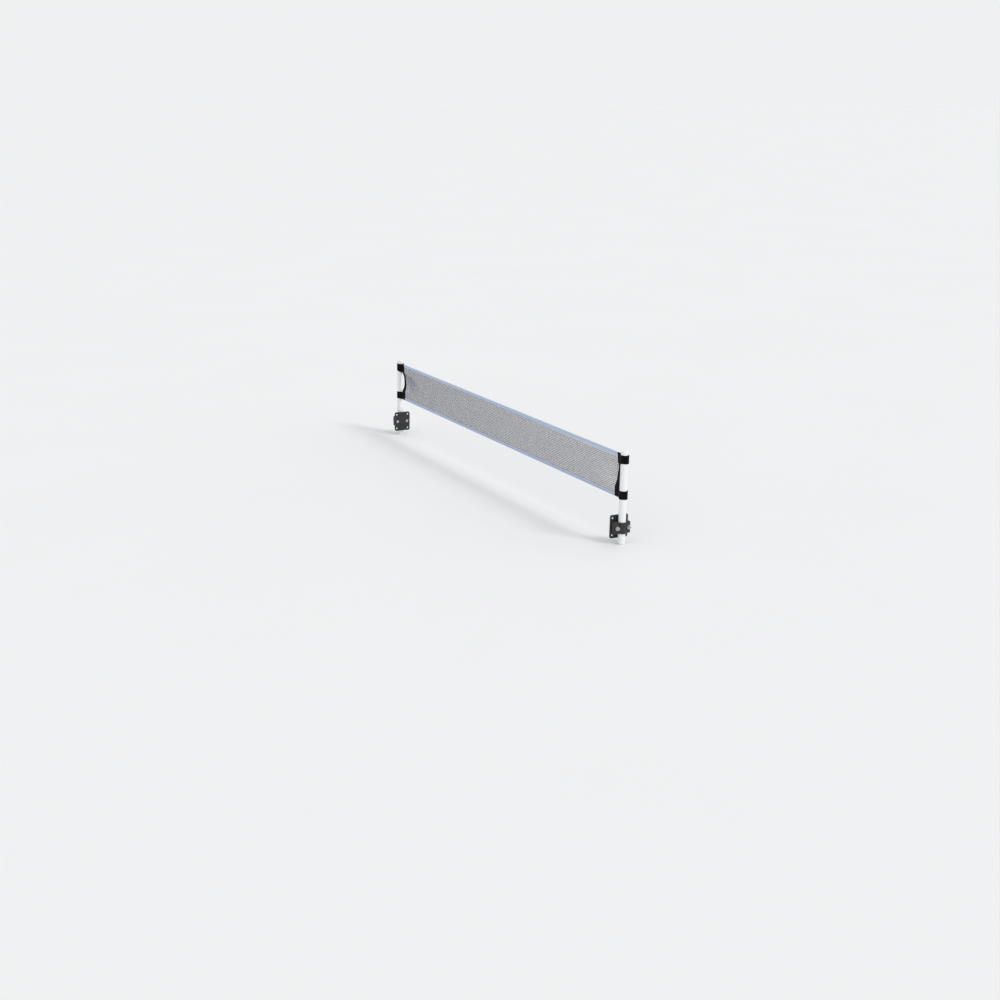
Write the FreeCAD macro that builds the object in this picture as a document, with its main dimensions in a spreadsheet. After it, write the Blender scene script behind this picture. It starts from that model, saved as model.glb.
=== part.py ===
import FreeCAD, Part
import math
import os
import Sketcher

# Table-tennis net and post set.
# X runs along the net, Y across it, Z up. The origin is the middle of the net line, at the level
# that the net's height is measured from. The right-hand end is at +X. Each end is drawn about its
# own post, with local X from the post towards the middle of the net, so the right-hand end is
# turned half a turn.

doc = FreeCAD.newDocument("NetSet")
sheet = doc.addObject("Spreadsheet::Sheet", "Sizes")

sizes = [
    # distance between the posts' axes, and the net's heights
    ("post_spacing", 1565.0),
    ("net_top", 152.5),
    ("net_bottom", 19.5),
    # posts
    ("post_diameter", 22.0),
    ("post_wall", 1.5),
    ("tube_top", 158.0),
    ("tube_bottom", -112.0),
    ("cap_crown", 5.5),
    ("cap_edge_radius", 3.0),
    ("cap_plug_depth", 16.0),
    ("foot_flange", 3.0),
    ("foot_plug_depth", 14.0),
    ("plug_wall", 2.5),
    # tube clamp, measured from the post's axis and from the clamp's middle
    ("clamp_middle", -65.0),
    ("clamp_reach", 20.0),
    ("clamp_grip_height", 34.0),
    ("clamp_half_width", 26.0),
    ("clamp_split", 2.0),
    ("base_plate_height", 70.0),
    ("base_plate_width", 60.0),
    ("base_plate_thickness", 5.0),
    ("clamp_edge_radius", 2.4),
    ("fixing_spacing_across", 44.0),
    ("fixing_spacing_up", 52.0),
    ("fixing_hole_diameter", 6.5),
    ("saddle_wall", 3.0),
    ("saddle_ear", 5.0),
    ("screw_spacing", 38.0),
    ("screw_hole_diameter", 6.4),
    ("screw_diameter", 6.0),
    ("screw_head_diameter", 10.0),
    ("screw_head_height", 6.0),
    ("screw_socket_size", 5.0),
    ("screw_socket_depth", 3.0),
    ("washer_diameter", 12.0),
    ("washer_thickness", 1.6),
    ("nut_size", 10.0),
    ("nut_height", 5.0),
    ("nut_pocket_play", 0.2),
    # net, tapes and cord
    ("mesh_thickness", 0.8),
    ("mesh_in_top_tape", 6.5),
    ("mesh_in_bottom_tape", 6.0),
    ("tape_cloth", 0.5),
    ("tape_play", 0.05),
    ("top_tape_height", 13.0),
    ("bottom_tape_height", 9.5),
    ("cord_diameter", 3.0),
    ("gap_columns", 28.0),
    ("gap_rows", 4.0),
    ("gap_bar", 3.2),
    # cloth end panels, measured from the post's axis towards the middle of the net
    ("panel_thickness", 1.6),
    ("panel_post_side", 12.3),
    ("panel_hollow", 28.0),
    ("panel_hollow_foot", 18.5),
    ("panel_net_side_top", 37.0),
    ("panel_net_side_neck", 31.5),
    ("panel_net_side_waist", 39.5),
    ("panel_net_side_low", 45.8),
    ("hollow_top", 127.5),
    ("hollow_middle", 86.0),
    ("hollow_bottom", 44.5),
    ("neck_level", 124.0),
    ("waist_level", 94.0),
    ("low_level", 48.0),
    # straps and flaps
    ("strap_width", 25.0),
    ("strap_thickness", 0.7),
    ("strap_clearance", 0.3),
    ("hook_thickness", 0.4),
    ("strap_bend", 24.0),
    ("upper_strap_top", 151.5),
    ("lower_strap_bottom", 20.5),
    ("upper_sewn_end", 33.5),
    ("lower_sewn_end", 44.0),
    ("loop_end_angle", 75.0),
    ("flap_root_angle", 62.0),
    ("flap_end_angle", 184.0),
    ("hook_root_angle", 84.0),
    ("hook_end_angle", 178.0),
]
for row, (alias, value) in enumerate(sizes, start=1):
    sheet.set("A%d" % row, alias)
    sheet.set("B%d" % row, str(value))
    sheet.setAlias("B%d" % row, alias)
doc.recompute()

parts = []


def evaluate(formula):
    """The present value of a formula in sheet cells."""
    value = sheet.evalExpression(formula)
    return float(getattr(value, "Value", value))


def size(alias):
    return evaluate("Sizes." + alias)


def keep(label, obj):
    obj.Label = label
    parts.append(obj)
    return obj


def bind(obj, name, formula):
    obj.setExpression(name, formula)


def place_end(obj, side, height, turn_axis=(0, 0, 1)):
    """Stands a piece that is drawn about its own post at that post; height is a formula."""
    if side > 0:
        placement = obj.Placement
        placement.Rotation = FreeCAD.Rotation(FreeCAD.Vector(turn_axis), 180)
        obj.Placement = placement
    bind(obj, "Placement.Base.x", "%d * Sizes.post_spacing / 2" % side)
    bind(obj, "Placement.Base.z", height)


def new_body(name):
    return doc.addObject("PartDesign::Body", name)


def new_sketch(body, name, role, offset=None):
    sketch = body.newObject("Sketcher::SketchObject", name)
    plane = [f for f in body.Origin.OriginFeatures if f.Role == role][0]
    sketch.AttachmentSupport = (plane, [""])
    sketch.MapMode = "FlatFace"
    if offset:
        bind(sketch, "AttachmentOffset.Base.z", offset)
    return sketch


def bind_constraint(sketch, constraint, formula):
    index = sketch.addConstraint(constraint)
    sketch.setExpression("Constraints[%d]" % index, formula)


def fix_point(sketch, geometry, which, x_formula, y_formula):
    """Ties one point of a line, arc or circle to a formula for each coordinate."""
    for kind, axis, formula in (("DistanceX", -2, x_formula), ("DistanceY", -1, y_formula)):
        if formula == "0":
            sketch.addConstraint(Sketcher.Constraint("PointOnObject", geometry, which, axis))
        else:
            constraint = Sketcher.Constraint(kind, -1, 1, geometry, which, evaluate(formula))
            bind_constraint(sketch, constraint, formula)


def add_circle(sketch, radius, x="0", y="0"):
    centre = FreeCAD.Vector(evaluate(x), evaluate(y), 0)
    circle = Part.Circle(centre, FreeCAD.Vector(0, 0, 1), evaluate(radius))
    index = sketch.addGeometry(circle, False)
    bind_constraint(sketch, Sketcher.Constraint("Radius", index, evaluate(radius)), radius)
    fix_point(sketch, index, 3, x, y)


def add_outline(sketch, corners):
    """A closed outline of straight lines; each corner is a pair of formulas."""
    points = [FreeCAD.Vector(evaluate(x), evaluate(y), 0) for x, y in corners]
    lines = []
    for start, end in zip(points, points[1:] + points[:1]):
        lines.append(sketch.addGeometry(Part.LineSegment(start, end), False))
    for line, following in zip(lines, lines[1:] + lines[:1]):
        sketch.addConstraint(Sketcher.Constraint("Coincident", line, 2, following, 1))
    for line, (x, y) in zip(lines, corners):
        fix_point(sketch, line, 1, x, y)


def add_rectangle(sketch, half_width, half_height):
    left, low = "-(%s)" % half_width, "-(%s)" % half_height
    add_outline(sketch, [(left, low), (half_width, low), (half_width, half_height), (left, half_height)])


def add_hexagon(sketch, centre, half_flats):
    """A hexagon with two flats level, centred on the sketch's horizontal axis."""
    reach = "(%s) / cos(30)" % half_flats
    corners = []
    for angle in range(0, 360, 60):
        across = "%s + %s * cos(%d)" % (centre, reach, angle)
        corners.append((across, "%s * sin(%d)" % (reach, angle) if angle % 180 else "0"))
    add_outline(sketch, corners)


def add_band(sketch, inner, outer, start_angle, end_angle):
    """A strip bent round the sketch's origin, square at both ends."""
    low, high = math.radians(evaluate(start_angle)), math.radians(evaluate(end_angle))
    arcs = []
    for radius in (inner, outer):
        circle = Part.Circle(FreeCAD.Vector(), FreeCAD.Vector(0, 0, 1), evaluate(radius))
        arc = sketch.addGeometry(Part.ArcOfCircle(circle, low, high), False)
        sketch.addConstraint(Sketcher.Constraint("Coincident", arc, 3, -1, 1))
        bind_constraint(sketch, Sketcher.Constraint("Radius", arc, evaluate(radius)), radius)
        arcs.append(arc)
    for which, turn, angle in ((1, low, start_angle), (2, high, end_angle)):
        along = FreeCAD.Vector(math.cos(turn), math.sin(turn), 0)
        line = sketch.addGeometry(Part.LineSegment(along * evaluate(inner), along * evaluate(outer)), False)
        sketch.addConstraint(Sketcher.Constraint("Coincident", arcs[0], which, line, 1))
        sketch.addConstraint(Sketcher.Constraint("Coincident", arcs[1], which, line, 2))
        sketch.addConstraint(Sketcher.Constraint("PointOnObject", -1, 1, line))
        bind_constraint(sketch, Sketcher.Constraint("Angle", line, turn), "(%s) * 1deg" % angle)


def pad(body, sketch, length, midplane=False):
    feature = body.newObject("PartDesign::Pad", sketch.Name + "_pad")
    feature.Profile = sketch
    feature.Midplane = midplane
    bind(feature, "Length", length)
    return feature


def pocket(body, sketch, length, along_normal=False):
    """Cuts a pocket, and stops the build if it takes nothing away."""
    doc.recompute()
    before = body.Shape.Volume
    feature = body.newObject("PartDesign::Pocket", sketch.Name + "_pocket")
    feature.Profile = sketch
    feature.Reversed = along_normal
    bind(feature, "Length", length)
    doc.recompute()
    if body.Shape.Volume > before - 1.0:
        raise RuntimeError("%s cuts nothing" % feature.Name)


def revolve(body, sketch):
    feature = body.newObject("PartDesign::Revolution", sketch.Name + "_turn")
    feature.Profile = sketch
    feature.ReferenceAxis = (sketch, ["V_Axis"])
    feature.Angle = 360


def fillet_edges(body, length, radius, chosen):
    """Rounds the body's edges of one length whose middle point is chosen."""
    doc.recompute()
    names = []
    for index, edge in enumerate(body.Shape.Edges, start=1):
        middle = edge.valueAt((edge.FirstParameter + edge.LastParameter) / 2)
        if abs(edge.Length - evaluate(length)) < 0.01 and chosen(middle):
            names.append("Edge%d" % index)
    feature = body.newObject("PartDesign::Fillet", body.Name + "_round_%d" % len(body.Group))
    feature.Base = (body.Group[-2], names)
    bind(feature, "Radius", radius)
    doc.recompute()


# Posts

post_radius = "Sizes.post_diameter / 2"
bore_radius = "(Sizes.post_diameter / 2 - Sizes.post_wall)"


def post_tube(side, name):
    body = new_body(name)
    sketch = new_sketch(body, name + "_ring", "XY_Plane")
    add_circle(sketch, post_radius)
    add_circle(sketch, bore_radius)
    pad(body, sketch, "Sizes.tube_top - Sizes.tube_bottom")
    place_end(body, side, "Sizes.tube_bottom")
    return keep(name, body)


def plug_corners(depth, sign):
    """Half section of a hollow plug that goes down (-1) or up (1) into its tube."""
    end = "%d * %s" % (sign, depth)
    inner = bore_radius + " - Sizes.plug_wall"
    return [(bore_radius, "0"), (bore_radius, end), (inner, end), (inner, "%d * Sizes.plug_wall" % sign)]


def post_cap(side, name):
    body = new_body(name)
    section = new_sketch(body, name + "_section", "XZ_Plane")
    corners = [(post_radius, "0")] + plug_corners("Sizes.cap_plug_depth", -1)
    corners += [("0", "-Sizes.plug_wall"), ("0", "Sizes.cap_crown")]
    for angle in (90, 45, 0):
        across = "%s - Sizes.cap_edge_radius * (1 - cos(%d))" % (post_radius, angle)
        up = "Sizes.cap_crown - Sizes.cap_edge_radius * (1 - sin(%d))" % angle
        corners.append((across, up))
    add_outline(section, corners)
    revolve(body, section)
    place_end(body, side, "Sizes.tube_top")
    return keep(name, body)


def foot_plug(side, name):
    body = new_body(name)
    section = new_sketch(body, name + "_section", "XZ_Plane")
    corners = [("0", "-Sizes.foot_flange"), (post_radius, "-Sizes.foot_flange"), (post_radius, "0")]
    corners += plug_corners("Sizes.foot_plug_depth", 1) + [("0", "Sizes.plug_wall")]
    add_outline(section, corners)
    revolve(body, section)
    place_end(body, side, "Sizes.tube_bottom")
    return keep(name, body)


# Tube clamp: a base with four fixing holes and a flat back, and a saddle that two screws draw up
# to it.

clamp_back = "Sizes.clamp_reach"
saddle_face = "-Sizes.clamp_split / 2 - Sizes.saddle_ear"
nut_start = "(%s - Sizes.nut_height - Sizes.nut_pocket_play)" % clamp_back


def cut_screw_holes(body, name, depth, along_normal):
    holes = new_sketch(body, name + "_screw_holes", "YZ_Plane")
    for across in (-1, 1):
        add_circle(holes, "Sizes.screw_hole_diameter / 2", "%d * Sizes.screw_spacing / 2" % across)
    pocket(body, holes, depth, along_normal)


def clamp_base(side, name):
    body = new_body(name)
    plate = new_sketch(body, name + "_plate", "YZ_Plane", clamp_back + " - Sizes.base_plate_thickness")
    add_rectangle(plate, "Sizes.base_plate_width / 2", "Sizes.base_plate_height / 2")
    pad(body, plate, "Sizes.base_plate_thickness")
    block = new_sketch(body, name + "_block", "XY_Plane")
    split = "Sizes.clamp_split / 2"
    back = clamp_back + " - Sizes.base_plate_thickness / 2"
    wide = "Sizes.clamp_half_width"
    add_outline(block, [(split, "-" + wide), (back, "-" + wide), (back, wide), (split, wide)])
    pad(body, block, "Sizes.clamp_grip_height", True)
    seat = new_sketch(body, name + "_seat", "XY_Plane", "-Sizes.base_plate_height / 2")
    add_circle(seat, post_radius)
    pocket(body, seat, "Sizes.base_plate_height", True)
    fixings = new_sketch(body, name + "_fixings", "YZ_Plane")
    for across in (-1, 1):
        for up in (-1, 1):
            add_circle(
                fixings,
                "Sizes.fixing_hole_diameter / 2",
                "%d * Sizes.fixing_spacing_across / 2" % across,
                "%d * Sizes.fixing_spacing_up / 2" % up,
            )
    pocket(body, fixings, clamp_back + " + 1", True)
    cut_screw_holes(body, name, clamp_back + " + 1", True)
    nut_pockets = new_sketch(body, name + "_nut_pockets", "YZ_Plane", clamp_back)
    for across in (-1, 1):
        add_hexagon(
            nut_pockets,
            "%d * Sizes.screw_spacing / 2" % across,
            "(Sizes.nut_size + Sizes.nut_pocket_play) / 2",
        )
    pocket(body, nut_pockets, "Sizes.nut_height + Sizes.nut_pocket_play")
    fillet_edges(
        body,
        "Sizes.clamp_grip_height",
        "Sizes.clamp_edge_radius",
        lambda at: at.x < 5 and abs(at.y) > size("clamp_half_width") - 1,
    )
    place_end(body, side, "Sizes.clamp_middle")
    return keep(name, body)


def clamp_saddle(side, name):
    body = new_body(name)
    ears = new_sketch(body, name + "_ears", "XY_Plane")
    front = "-Sizes.clamp_split / 2"
    wide = "Sizes.clamp_half_width"
    add_outline(ears, [(saddle_face, "-" + wide), (front, "-" + wide), (front, wide), (saddle_face, wide)])
    pad(body, ears, "Sizes.clamp_grip_height", True)
    arch = new_sketch(body, name + "_arch", "XY_Plane")
    arch_radius = "Sizes.post_diameter / 2 + Sizes.saddle_wall"
    add_band(arch, "Sizes.post_diameter / 4", arch_radius, "105", "255")
    pad(body, arch, "Sizes.clamp_grip_height", True)
    seat = new_sketch(body, name + "_seat", "XY_Plane", "-Sizes.clamp_grip_height / 2")
    add_circle(seat, post_radius)
    pocket(body, seat, "Sizes.clamp_grip_height", True)
    fillet_edges(
        body,
        "Sizes.clamp_grip_height",
        "Sizes.clamp_edge_radius",
        lambda at: at.x < evaluate(saddle_face) + 0.1 and abs(at.y) > size("clamp_half_width") - 1,
    )
    cut_screw_holes(body, name, "Sizes.clamp_split / 2 + Sizes.saddle_ear + 1", False)
    place_end(body, side, "Sizes.clamp_middle")
    return keep(name, body)


def lie_along_x(obj, start, across, roll=0):
    """Lays a round or six-sided primitive along local X, on one of the two screw lines."""
    lying = FreeCAD.Rotation(FreeCAD.Vector(0, 1, 0), 90)
    rolled = FreeCAD.Rotation(FreeCAD.Vector(0, 0, 1), roll)
    obj.Placement = FreeCAD.Placement(FreeCAD.Vector(), lying * rolled)
    bind(obj, "Placement.Base.x", start)
    bind(obj, "Placement.Base.y", "%d * Sizes.screw_spacing / 2" % across)


def lying_cylinder(name, radius, start, length, across):
    rod = doc.addObject("Part::Cylinder", name)
    bind(rod, "Radius", radius)
    bind(rod, "Height", length)
    lie_along_x(rod, start, across)
    return rod


def lying_hexagon(name, flats, start, length, across, roll=0):
    prism = doc.addObject("Part::Prism", name)
    prism.Polygon = 6
    bind(prism, "Circumradius", "%s / 2 / cos(30)" % flats)
    bind(prism, "Height", length)
    lie_along_x(prism, start, across, roll)
    return prism


def boolean(kind, name, base, tool):
    result = doc.addObject("Part::" + kind, name)
    result.Base = base
    result.Tool = tool
    return result


def clamp_screw(name, across):
    under_head = "(%s - Sizes.washer_thickness)" % saddle_face
    head_start = under_head + " - Sizes.screw_head_height"
    head_radius, head_height = "Sizes.screw_head_diameter / 2", "Sizes.screw_head_height"
    head = lying_cylinder(name + "_head", head_radius, head_start, head_height, across)
    shank_length = "%s + Sizes.nut_height - %s" % (nut_start, under_head)
    shank = lying_cylinder(name + "_shank", "Sizes.screw_diameter / 2", under_head, shank_length, across)
    blank = boolean("Fuse", name + "_blank", head, shank)
    socket_depth = "Sizes.screw_socket_depth + 1"
    socket = lying_hexagon(
        name + "_socket", "Sizes.screw_socket_size", head_start + " - 1", socket_depth, across
    )
    return boolean("Cut", name, blank, socket)


def clamp_washer(name, across):
    start, thickness = "%s - Sizes.washer_thickness" % saddle_face, "Sizes.washer_thickness"
    disc = lying_cylinder(name + "_disc", "Sizes.washer_diameter / 2", start, thickness, across)
    hole = lying_cylinder(name + "_hole", "Sizes.screw_hole_diameter / 2", start, thickness, across)
    return boolean("Cut", name, disc, hole)


def clamp_nut(name, across):
    blank = lying_hexagon(name + "_blank", "Sizes.nut_size", nut_start, "Sizes.nut_height", across, 30)
    bore = lying_cylinder(name + "_bore", "Sizes.screw_diameter / 2", nut_start, "Sizes.nut_height", across)
    return boolean("Cut", name, blank, bore)


def fasteners(name, make_one):
    """One kind of fastener in one node: two at each end of the net, one each side of the post."""
    pairs = []
    for side, end in ((-1, "_left"), (1, "_right")):
        pair = doc.addObject("Part::Compound", name + end)
        pair.Links = [make_one(pair.Name + "_front", -1), make_one(pair.Name + "_back", 1)]
        place_end(pair, side, "Sizes.clamp_middle")
        pairs.append(pair)
    everything = doc.addObject("Part::Compound", name)
    everything.Links = pairs
    return keep(name, everything)


# Straps, as plan outlines about the post padded to the webbing's width. The front is -Y. The loop
# strap passes the post's front, goes round its outer side and ends behind it. The back strap
# carries the flap, whose hook tape laps over the loop strap.

loop_inner = "(Sizes.post_diameter / 2 + Sizes.strap_clearance)"
loop_outer = "(%s + Sizes.strap_thickness)" % loop_inner
hook_inner = "(%s + Sizes.strap_clearance)" % loop_outer
flap_inner = "(%s + Sizes.hook_thickness)" % hook_inner
flap_outer = "(%s + Sizes.strap_thickness)" % flap_inner
panel_face = "Sizes.panel_thickness / 2"


def tangent_angle(radius):
    """Where a strap that leaves the panel's face at the bend meets a circle about the post."""
    reach = "sqrt(Sizes.strap_bend ^ 2 + (%s) ^ 2)" % panel_face
    return "(acos(%s / %s) + atan(%s / Sizes.strap_bend))" % (radius, reach, panel_face)


def leg_corners(inner, outer, sewn_end, sign):
    """A strap's straight run and its sewn end, in front of the panel (-1) or behind it (1)."""
    turn = tangent_angle(inner)
    level = "(%s)" % panel_face
    outer_level = "(%s + Sizes.strap_thickness)" % panel_face
    outer_bend = "(%s - %s * sin(%s)) / cos(%s)" % (outer, outer_level, turn, turn)
    plan = [
        ("%s * cos(%s)" % (inner, turn), "%s * sin(%s)" % (inner, turn)),
        ("Sizes.strap_bend", level),
        (sewn_end, level),
        (sewn_end, outer_level),
        (outer_bend, outer_level),
        ("%s * cos(%s)" % (outer, turn), "%s * sin(%s)" % (outer, turn)),
    ]
    return [(x, "%d * (%s)" % (sign, y)) for x, y in plan]


def place_strap(body, side, is_upper):
    middle = "Sizes.lower_strap_bottom + Sizes.strap_width / 2"
    if is_upper:
        middle = "Sizes.upper_strap_top - Sizes.strap_width / 2"
    place_end(body, side, middle, (0, 1, 0))


def sewn_end_of(is_upper):
    return "Sizes.upper_sewn_end" if is_upper else "Sizes.lower_sewn_end"


def loop_strap(side, name, is_upper):
    body = new_body(name)
    turn = new_sketch(body, name + "_turn", "XY_Plane")
    end_angle = "360 - %s / 1deg" % tangent_angle(loop_inner)
    add_band(turn, loop_inner, loop_outer, "Sizes.loop_end_angle", end_angle)
    pad(body, turn, "Sizes.strap_width", True)
    leg = new_sketch(body, name + "_leg", "XY_Plane")
    add_outline(leg, leg_corners(loop_inner, loop_outer, sewn_end_of(is_upper), -1))
    pad(body, leg, "Sizes.strap_width", True)
    place_strap(body, side, is_upper)
    return keep(name, body)


def back_strap(side, name, is_upper):
    body = new_body(name)
    leg = new_sketch(body, name + "_leg", "XY_Plane")
    add_outline(leg, leg_corners(flap_inner, flap_outer, sewn_end_of(is_upper), 1))
    pad(body, leg, "Sizes.strap_width", True)
    place_strap(body, side, is_upper)
    return keep(name, body)


def curved_strip(side, name, is_upper, inner, outer, start_angle, end_angle):
    body = new_body(name)
    band = new_sketch(body, name + "_band", "XY_Plane")
    add_band(band, inner, outer, start_angle, end_angle)
    pad(body, band, "Sizes.strap_width", True)
    place_strap(body, side, is_upper)
    return keep(name, body)


# Cloth end panels and the mesh share the edge where they are sewn together.


def at(side, inward, height):
    """A point in the net's plane, a distance inward from one post's axis."""
    return FreeCAD.Vector(side * (size("post_spacing") / 2 - inward), 0, height)


def line(start, end):
    return Part.LineSegment(start, end).toShape()


def arc(start, middle, end):
    return Part.Arc(start, middle, end).toShape()


def sewn_edge(side, top, bottom):
    """The edge shared by mesh and panel, from the top corner down."""
    tape_end = size("net_top") - size("top_tape_height")
    corner = at(side, size("panel_net_side_top"), top)
    under_tape = at(side, size("panel_net_side_top"), tape_end)
    neck = at(side, size("panel_net_side_neck"), size("neck_level"))
    waist = at(side, size("panel_net_side_waist"), size("waist_level"))
    low = at(side, size("panel_net_side_low"), size("low_level"))
    foot = at(side, size("panel_net_side_low"), bottom)
    return [line(corner, under_tape), line(under_tape, neck), arc(neck, waist, low), line(low, foot)]


def extruded(name, face, thickness):
    """A cloth piece: a flat face in the net's plane, thickened evenly to both sides."""
    flat = doc.addObject("Part::Feature", name + "_cut")
    flat.Shape = face
    cloth = doc.addObject("Part::Extrusion", name)
    cloth.Base = flat
    cloth.DirMode = "Custom"
    cloth.Dir = FreeCAD.Vector(0, 1, 0)
    cloth.Symmetric = True
    cloth.Solid = True
    bind(cloth, "LengthFwd", thickness)
    return keep(name, cloth)


def end_panel(side, name):
    top, bottom = size("net_top"), size("net_bottom")
    post_side = size("panel_post_side")
    top_corner = at(side, post_side, top)
    hollow_top = at(side, post_side, size("hollow_top"))
    hollow = at(side, size("panel_hollow"), size("hollow_middle"))
    hollow_bottom = at(side, size("panel_hollow_foot"), size("hollow_bottom"))
    foot_corner = at(side, post_side, size("hollow_bottom"))
    bottom_corner = at(side, post_side, bottom)
    edges = sewn_edge(side, top, bottom)
    edges += [
        line(at(side, size("panel_net_side_low"), bottom), bottom_corner),
        line(bottom_corner, foot_corner),
        line(foot_corner, hollow_bottom),
        arc(hollow_bottom, hollow, hollow_top),
        line(hollow_top, top_corner),
        line(top_corner, at(side, size("panel_net_side_top"), top)),
    ]
    return extruded(name, Part.Face(Part.Wire(Part.__sortEdges__(edges))), "Sizes.panel_thickness")


def net_mesh(name):
    """The mesh as one face with its gaps cut out of it."""
    top = size("net_top") - size("mesh_in_top_tape")
    bottom = size("net_bottom") + size("bottom_tape_height") - size("mesh_in_bottom_tape")
    edges = []
    for side in (-1, 1):
        edges += sewn_edge(side, top, bottom)
    top_inward, low_inward = size("panel_net_side_top"), size("panel_net_side_low")
    edges.append(line(at(-1, top_inward, top), at(1, top_inward, top)))
    edges.append(line(at(-1, low_inward, bottom), at(1, low_inward, bottom)))
    outline = Part.Wire(Part.__sortEdges__(edges))
    columns, rows = int(size("gap_columns")), int(size("gap_rows"))
    bar = size("gap_bar")
    first_x = at(-1, low_inward, 0).x + bar
    first_z = size("net_bottom") + size("bottom_tape_height")
    last_z = size("net_top") - size("top_tape_height")
    pitch_x = (-2 * first_x + bar) / columns
    pitch_z = (last_z - first_z + bar) / rows
    gaps = []
    for column in range(columns):
        for row in range(rows):
            x = first_x + column * pitch_x
            z = first_z + row * pitch_z
            far_x, far_z = x + pitch_x - bar, z + pitch_z - bar
            corners = [(x, z), (far_x, z), (far_x, far_z), (x, far_z), (x, z)]
            gaps.append(Part.makePolygon([FreeCAD.Vector(a, 0, b) for a, b in corners]))
    holed_face = Part.makeFace([outline] + gaps, "Part::FaceMakerBullseye")
    return extruded(name, holed_face, "Sizes.mesh_thickness")


# Tapes folded over the mesh's edges, and the cord in the top one


def long_cylinder(name, radius, length, height):
    rod = doc.addObject("Part::Cylinder", name)
    rod.Placement.Rotation = FreeCAD.Rotation(FreeCAD.Vector(0, 1, 0), 90)
    bind(rod, "Radius", radius)
    bind(rod, "Height", length)
    bind(rod, "Placement.Base.x", "-(%s) / 2" % length)
    bind(rod, "Placement.Base.z", height)
    return rod


def long_box(name, length, half_thickness, bottom, top):
    box = doc.addObject("Part::Box", name)
    bind(box, "Length", length)
    bind(box, "Width", "2 * (%s)" % half_thickness)
    bind(box, "Height", "(%s) - (%s)" % (top, bottom))
    bind(box, "Placement.Base.x", "-(%s) / 2" % length)
    bind(box, "Placement.Base.y", "-(%s)" % half_thickness)
    bind(box, "Placement.Base.z", bottom)
    return box


slot_half = "Sizes.mesh_thickness / 2 + Sizes.tape_play"
tape_half = "Sizes.mesh_thickness / 2 + Sizes.tape_play + Sizes.tape_cloth"
tunnel_radius = "(Sizes.cord_diameter / 2 + Sizes.tape_play)"
hem_radius = "(Sizes.cord_diameter / 2 + Sizes.tape_play + Sizes.tape_cloth)"
cord_level = "Sizes.net_top - %s" % hem_radius
top_length = "(Sizes.post_spacing - 2 * Sizes.panel_net_side_top)"
bottom_length = "(Sizes.post_spacing - 2 * Sizes.panel_net_side_low)"


def top_tape(name):
    """A tape folded over the cord: a round hem above two flat layers that hold the mesh."""
    bottom = "Sizes.net_top - Sizes.top_tape_height"
    hem = long_cylinder(name + "_hem", hem_radius, top_length, cord_level)
    layers = long_box(name + "_layers", top_length, tape_half, bottom, cord_level)
    folded = boolean("Fuse", name + "_folded", hem, layers)
    tunnel = long_cylinder(name + "_tunnel", tunnel_radius, top_length, cord_level)
    slot = long_box(name + "_slot", top_length, slot_half, bottom, cord_level)
    inside = boolean("Fuse", name + "_inside", tunnel, slot)
    return keep(name, boolean("Cut", name, folded, inside))


def bottom_tape(name):
    """A narrower tape folded round the mesh's lower edge."""
    fold_level = "Sizes.net_bottom + %s" % tape_half
    top = "Sizes.net_bottom + Sizes.bottom_tape_height"
    fold = long_cylinder(name + "_fold", tape_half, bottom_length, fold_level)
    layers = long_box(name + "_layers", bottom_length, tape_half, fold_level, top)
    folded = boolean("Fuse", name + "_folded", fold, layers)
    slot = long_box(name + "_slot", bottom_length, slot_half, fold_level, top)
    return keep(name, boolean("Cut", name, folded, slot))


def top_cord(name):
    return keep(name, long_cylinder(name, "Sizes.cord_diameter / 2", top_length, cord_level))


for side, end in ((-1, "left_"), (1, "right_")):
    post_tube(side, end + "post_tube")
    post_cap(side, end + "post_cap")
    foot_plug(side, end + "foot_plug")
    clamp_base(side, end + "clamp_base")
    clamp_saddle(side, end + "clamp_saddle")
    end_panel(side, end + "end_panel")
    for is_upper, level in ((True, "upper_"), (False, "lower_")):
        loop_strap(side, end + level + "loop_strap", is_upper)
        back_strap(side, end + level + "back_strap", is_upper)
        root, tip = "Sizes.flap_root_angle", "Sizes.flap_end_angle"
        curved_strip(side, end + level + "flap", is_upper, flap_inner, flap_outer, root, tip)
        root, tip = "Sizes.hook_root_angle", "Sizes.hook_end_angle"
        curved_strip(side, end + level + "hook_pad", is_upper, hook_inner, flap_inner, root, tip)
fasteners("clamp_screws", clamp_screw)
fasteners("clamp_washers", clamp_washer)
fasteners("clamp_nuts", clamp_nut)
net_mesh("net_mesh")
top_tape("top_tape")
bottom_tape("bottom_tape")
top_cord("top_cord")

doc.recompute()
for obj in doc.Objects:
    if {"Invalid", "Error"} & set(obj.State):
        raise RuntimeError("%s failed: %s" % (obj.Name, obj.State))
for obj in parts:
    if obj.Shape.isNull() or not obj.Shape.isValid():
        raise RuntimeError("%s has no valid shape" % obj.Label)

os.makedirs("parts", exist_ok=True)
for obj in parts:
    obj.Shape.exportStep("parts/%s.step" % obj.Label)
print("%d nodes written" % len(parts))
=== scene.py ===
import math
import bmesh
import bpy
import numpy as np
from mathutils import Matrix, Vector


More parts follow.
